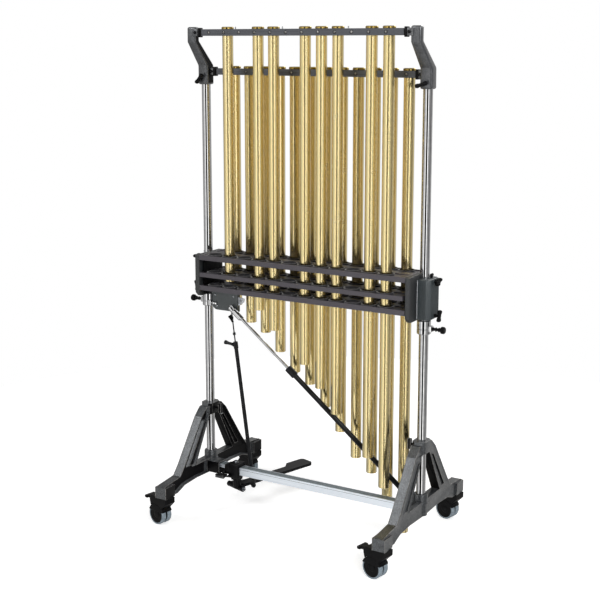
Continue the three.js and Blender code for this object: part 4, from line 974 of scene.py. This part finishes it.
# Lamps in metres and watts; the near one beside the right foot is not seen in the metal
lamps = {"key": {"place": (-2.4, -3.0, 3.8), "size": (1.6, 1.6), "power": 58, "aim": (0, 0, 0.9)},
    "fill": {"place": (3.6, -2.2, 3.2), "size": (1.4, 1.4), "power": 95, "aim": (0, 0, 0.7)},
    "side": {"place": (1.5, -1.7, 0.95), "size": (0.5, 0.9), "power": 15, "aim": (0.55, 0, 0.95), "mirrored": False},
    "rim": {"place": (0.5, 3.6, 3.4), "size": (2.4, 1.6), "power": 60, "aim": (0, 0, 0.9)}}
for name, lamp in lamps.items():
    light = link(bpy.data.objects.new(name, bpy.data.lights.new(name, "AREA")))
    light.data.shape = "RECTANGLE"
    light.data.size, light.data.size_y = lamp["size"]
    light.data.energy = lamp["power"]
    light.location = lamp["place"]
    light.rotation_euler = (Vector(lamp["aim"]) - Vector(lamp["place"])).to_track_quat("-Z", "Y").to_euler()
    light.visible_glossy = lamp.get("mirrored", True)

# The studio as metal mirrors it, as (degrees round from the middle, light): a black flag between two white strips
roomSettings = {"middle": cameraSettings["azimuth"] - 90, "warmth": (1.0, 0.985, 0.96),
    "walls": [(-180, 0.4), (-116, 0.42), (-100, 0.52), (-80, 0.75), (-58, 0.95), (-48, 1.2), (-44, 2.2), (-35, 2.2),
    (-31, 0.04), (-20, 0.02), (-2, 0.02), (6, 0.04), (9, 3.2), (17, 3.2), (20, 0.4), (26, 0.5), (44, 0.6), (58, 0.45),
    (70, 0.2), (84, 0.2), (96, 0.6), (128, 0.7), (150, 0.45), (180, 0.4)]}


def roomPattern(tree, vector):
    split = addNode(tree, "ShaderNodeSeparateXYZ", links={0: vector})
    angle = maths(tree, "ARCTAN2", split.outputs["Y"], split.outputs["X"])
    share = maths(tree, "MULTIPLY", angle, 1 / (2 * math.pi))
    wrapped = maths(tree, "MODULO", maths(tree, "ADD", share, 1.5 - roomSettings["middle"] / 360), 1.0)
    ramp = addNode(tree, "ShaderNodeValToRGB", links={"Fac": wrapped})
    stops = [(0.5 + turn / 360, (*(light * part for part in roomSettings["warmth"]), 1))
        for turn, light in roomSettings["walls"]]
    elements = ramp.color_ramp.elements
    elements[0].color, elements[1].color = stops[0][1], stops[-1][1]
    for place, colour in stops[1:-1]:
        elements.new(place).color = colour
    return ramp.outputs["Color"]


# The world: white to the camera, grey to soft light, and the studio to mirrors; a Mix of colours takes its factor at
# input 0 and its colours at 6 and 7
worldSettings = {"seen": 1.0, "light": 0.4}
world = bpy.data.worlds.new("studio")
scene.world = world
world.use_nodes = True
tree = world.node_tree
tree.nodes.clear()
rays = addNode(tree, "ShaderNodeLightPath").outputs
pattern = roomPattern(tree, addNode(tree, "ShaderNodeTexCoord").outputs["Generated"])
white, grey = ((light, light, light, 1) for light in worldSettings.values())
plain = addNode(tree, "ShaderNodeMix", {6: grey, 7: white}, {0: rays["Is Camera Ray"]}, data_type="RGBA").outputs[2]
tone = addNode(tree, "ShaderNodeMix", links={0: rays["Is Glossy Ray"], 6: plain, 7: pattern},
    data_type="RGBA").outputs[2]
background = addNode(tree, "ShaderNodeBackground", links={"Color": tone})
addNode(tree, "ShaderNodeOutputWorld", links={"Surface": background.outputs["Background"]})

# White paper floor: it glows to the camera, so that all but its shadow is white, and mirrors look past it
floorSettings = {"radius": 2.3, "paper": 0.85, "glow": 0.5}
floorMesh = meshFrom("floor", lambda shape: bmesh.ops.create_circle(shape, cap_ends=True, segments=96,
    radius=floorSettings["radius"]))
floor = link(bpy.data.objects.new("floor", floorMesh))
paper, tree, shader, place = startMaterial("studioPaper", {"Base Color": (floorSettings["paper"],) * 3 + (1,),
    "Roughness": 0.9, "Specular IOR Level": 0.0})
rays = addNode(tree, "ShaderNodeLightPath").outputs
glow = addNode(tree, "ShaderNodeEmission", {"Color": (1, 1, 1, 1)},
    {"Strength": maths(tree, "MULTIPLY", rays["Is Camera Ray"], floorSettings["glow"])})
clear = addNode(tree, "ShaderNodeBsdfTransparent")
lit = addNode(tree, "ShaderNodeAddShader", links={0: shader.outputs["BSDF"], 1: glow.outputs["Emission"]})
both = addNode(tree, "ShaderNodeMixShader", links={"Fac": rays["Is Glossy Ray"], 1: lit.outputs[0],
    2: clear.outputs[0]})
output = [n for n in tree.nodes if n.type == "OUTPUT_MATERIAL"][0]
tree.links.new(both.outputs[0], output.inputs["Surface"])
floorMesh.materials.append(paper)

scene.view_settings.view_transform = "Standard"
print("scene set")
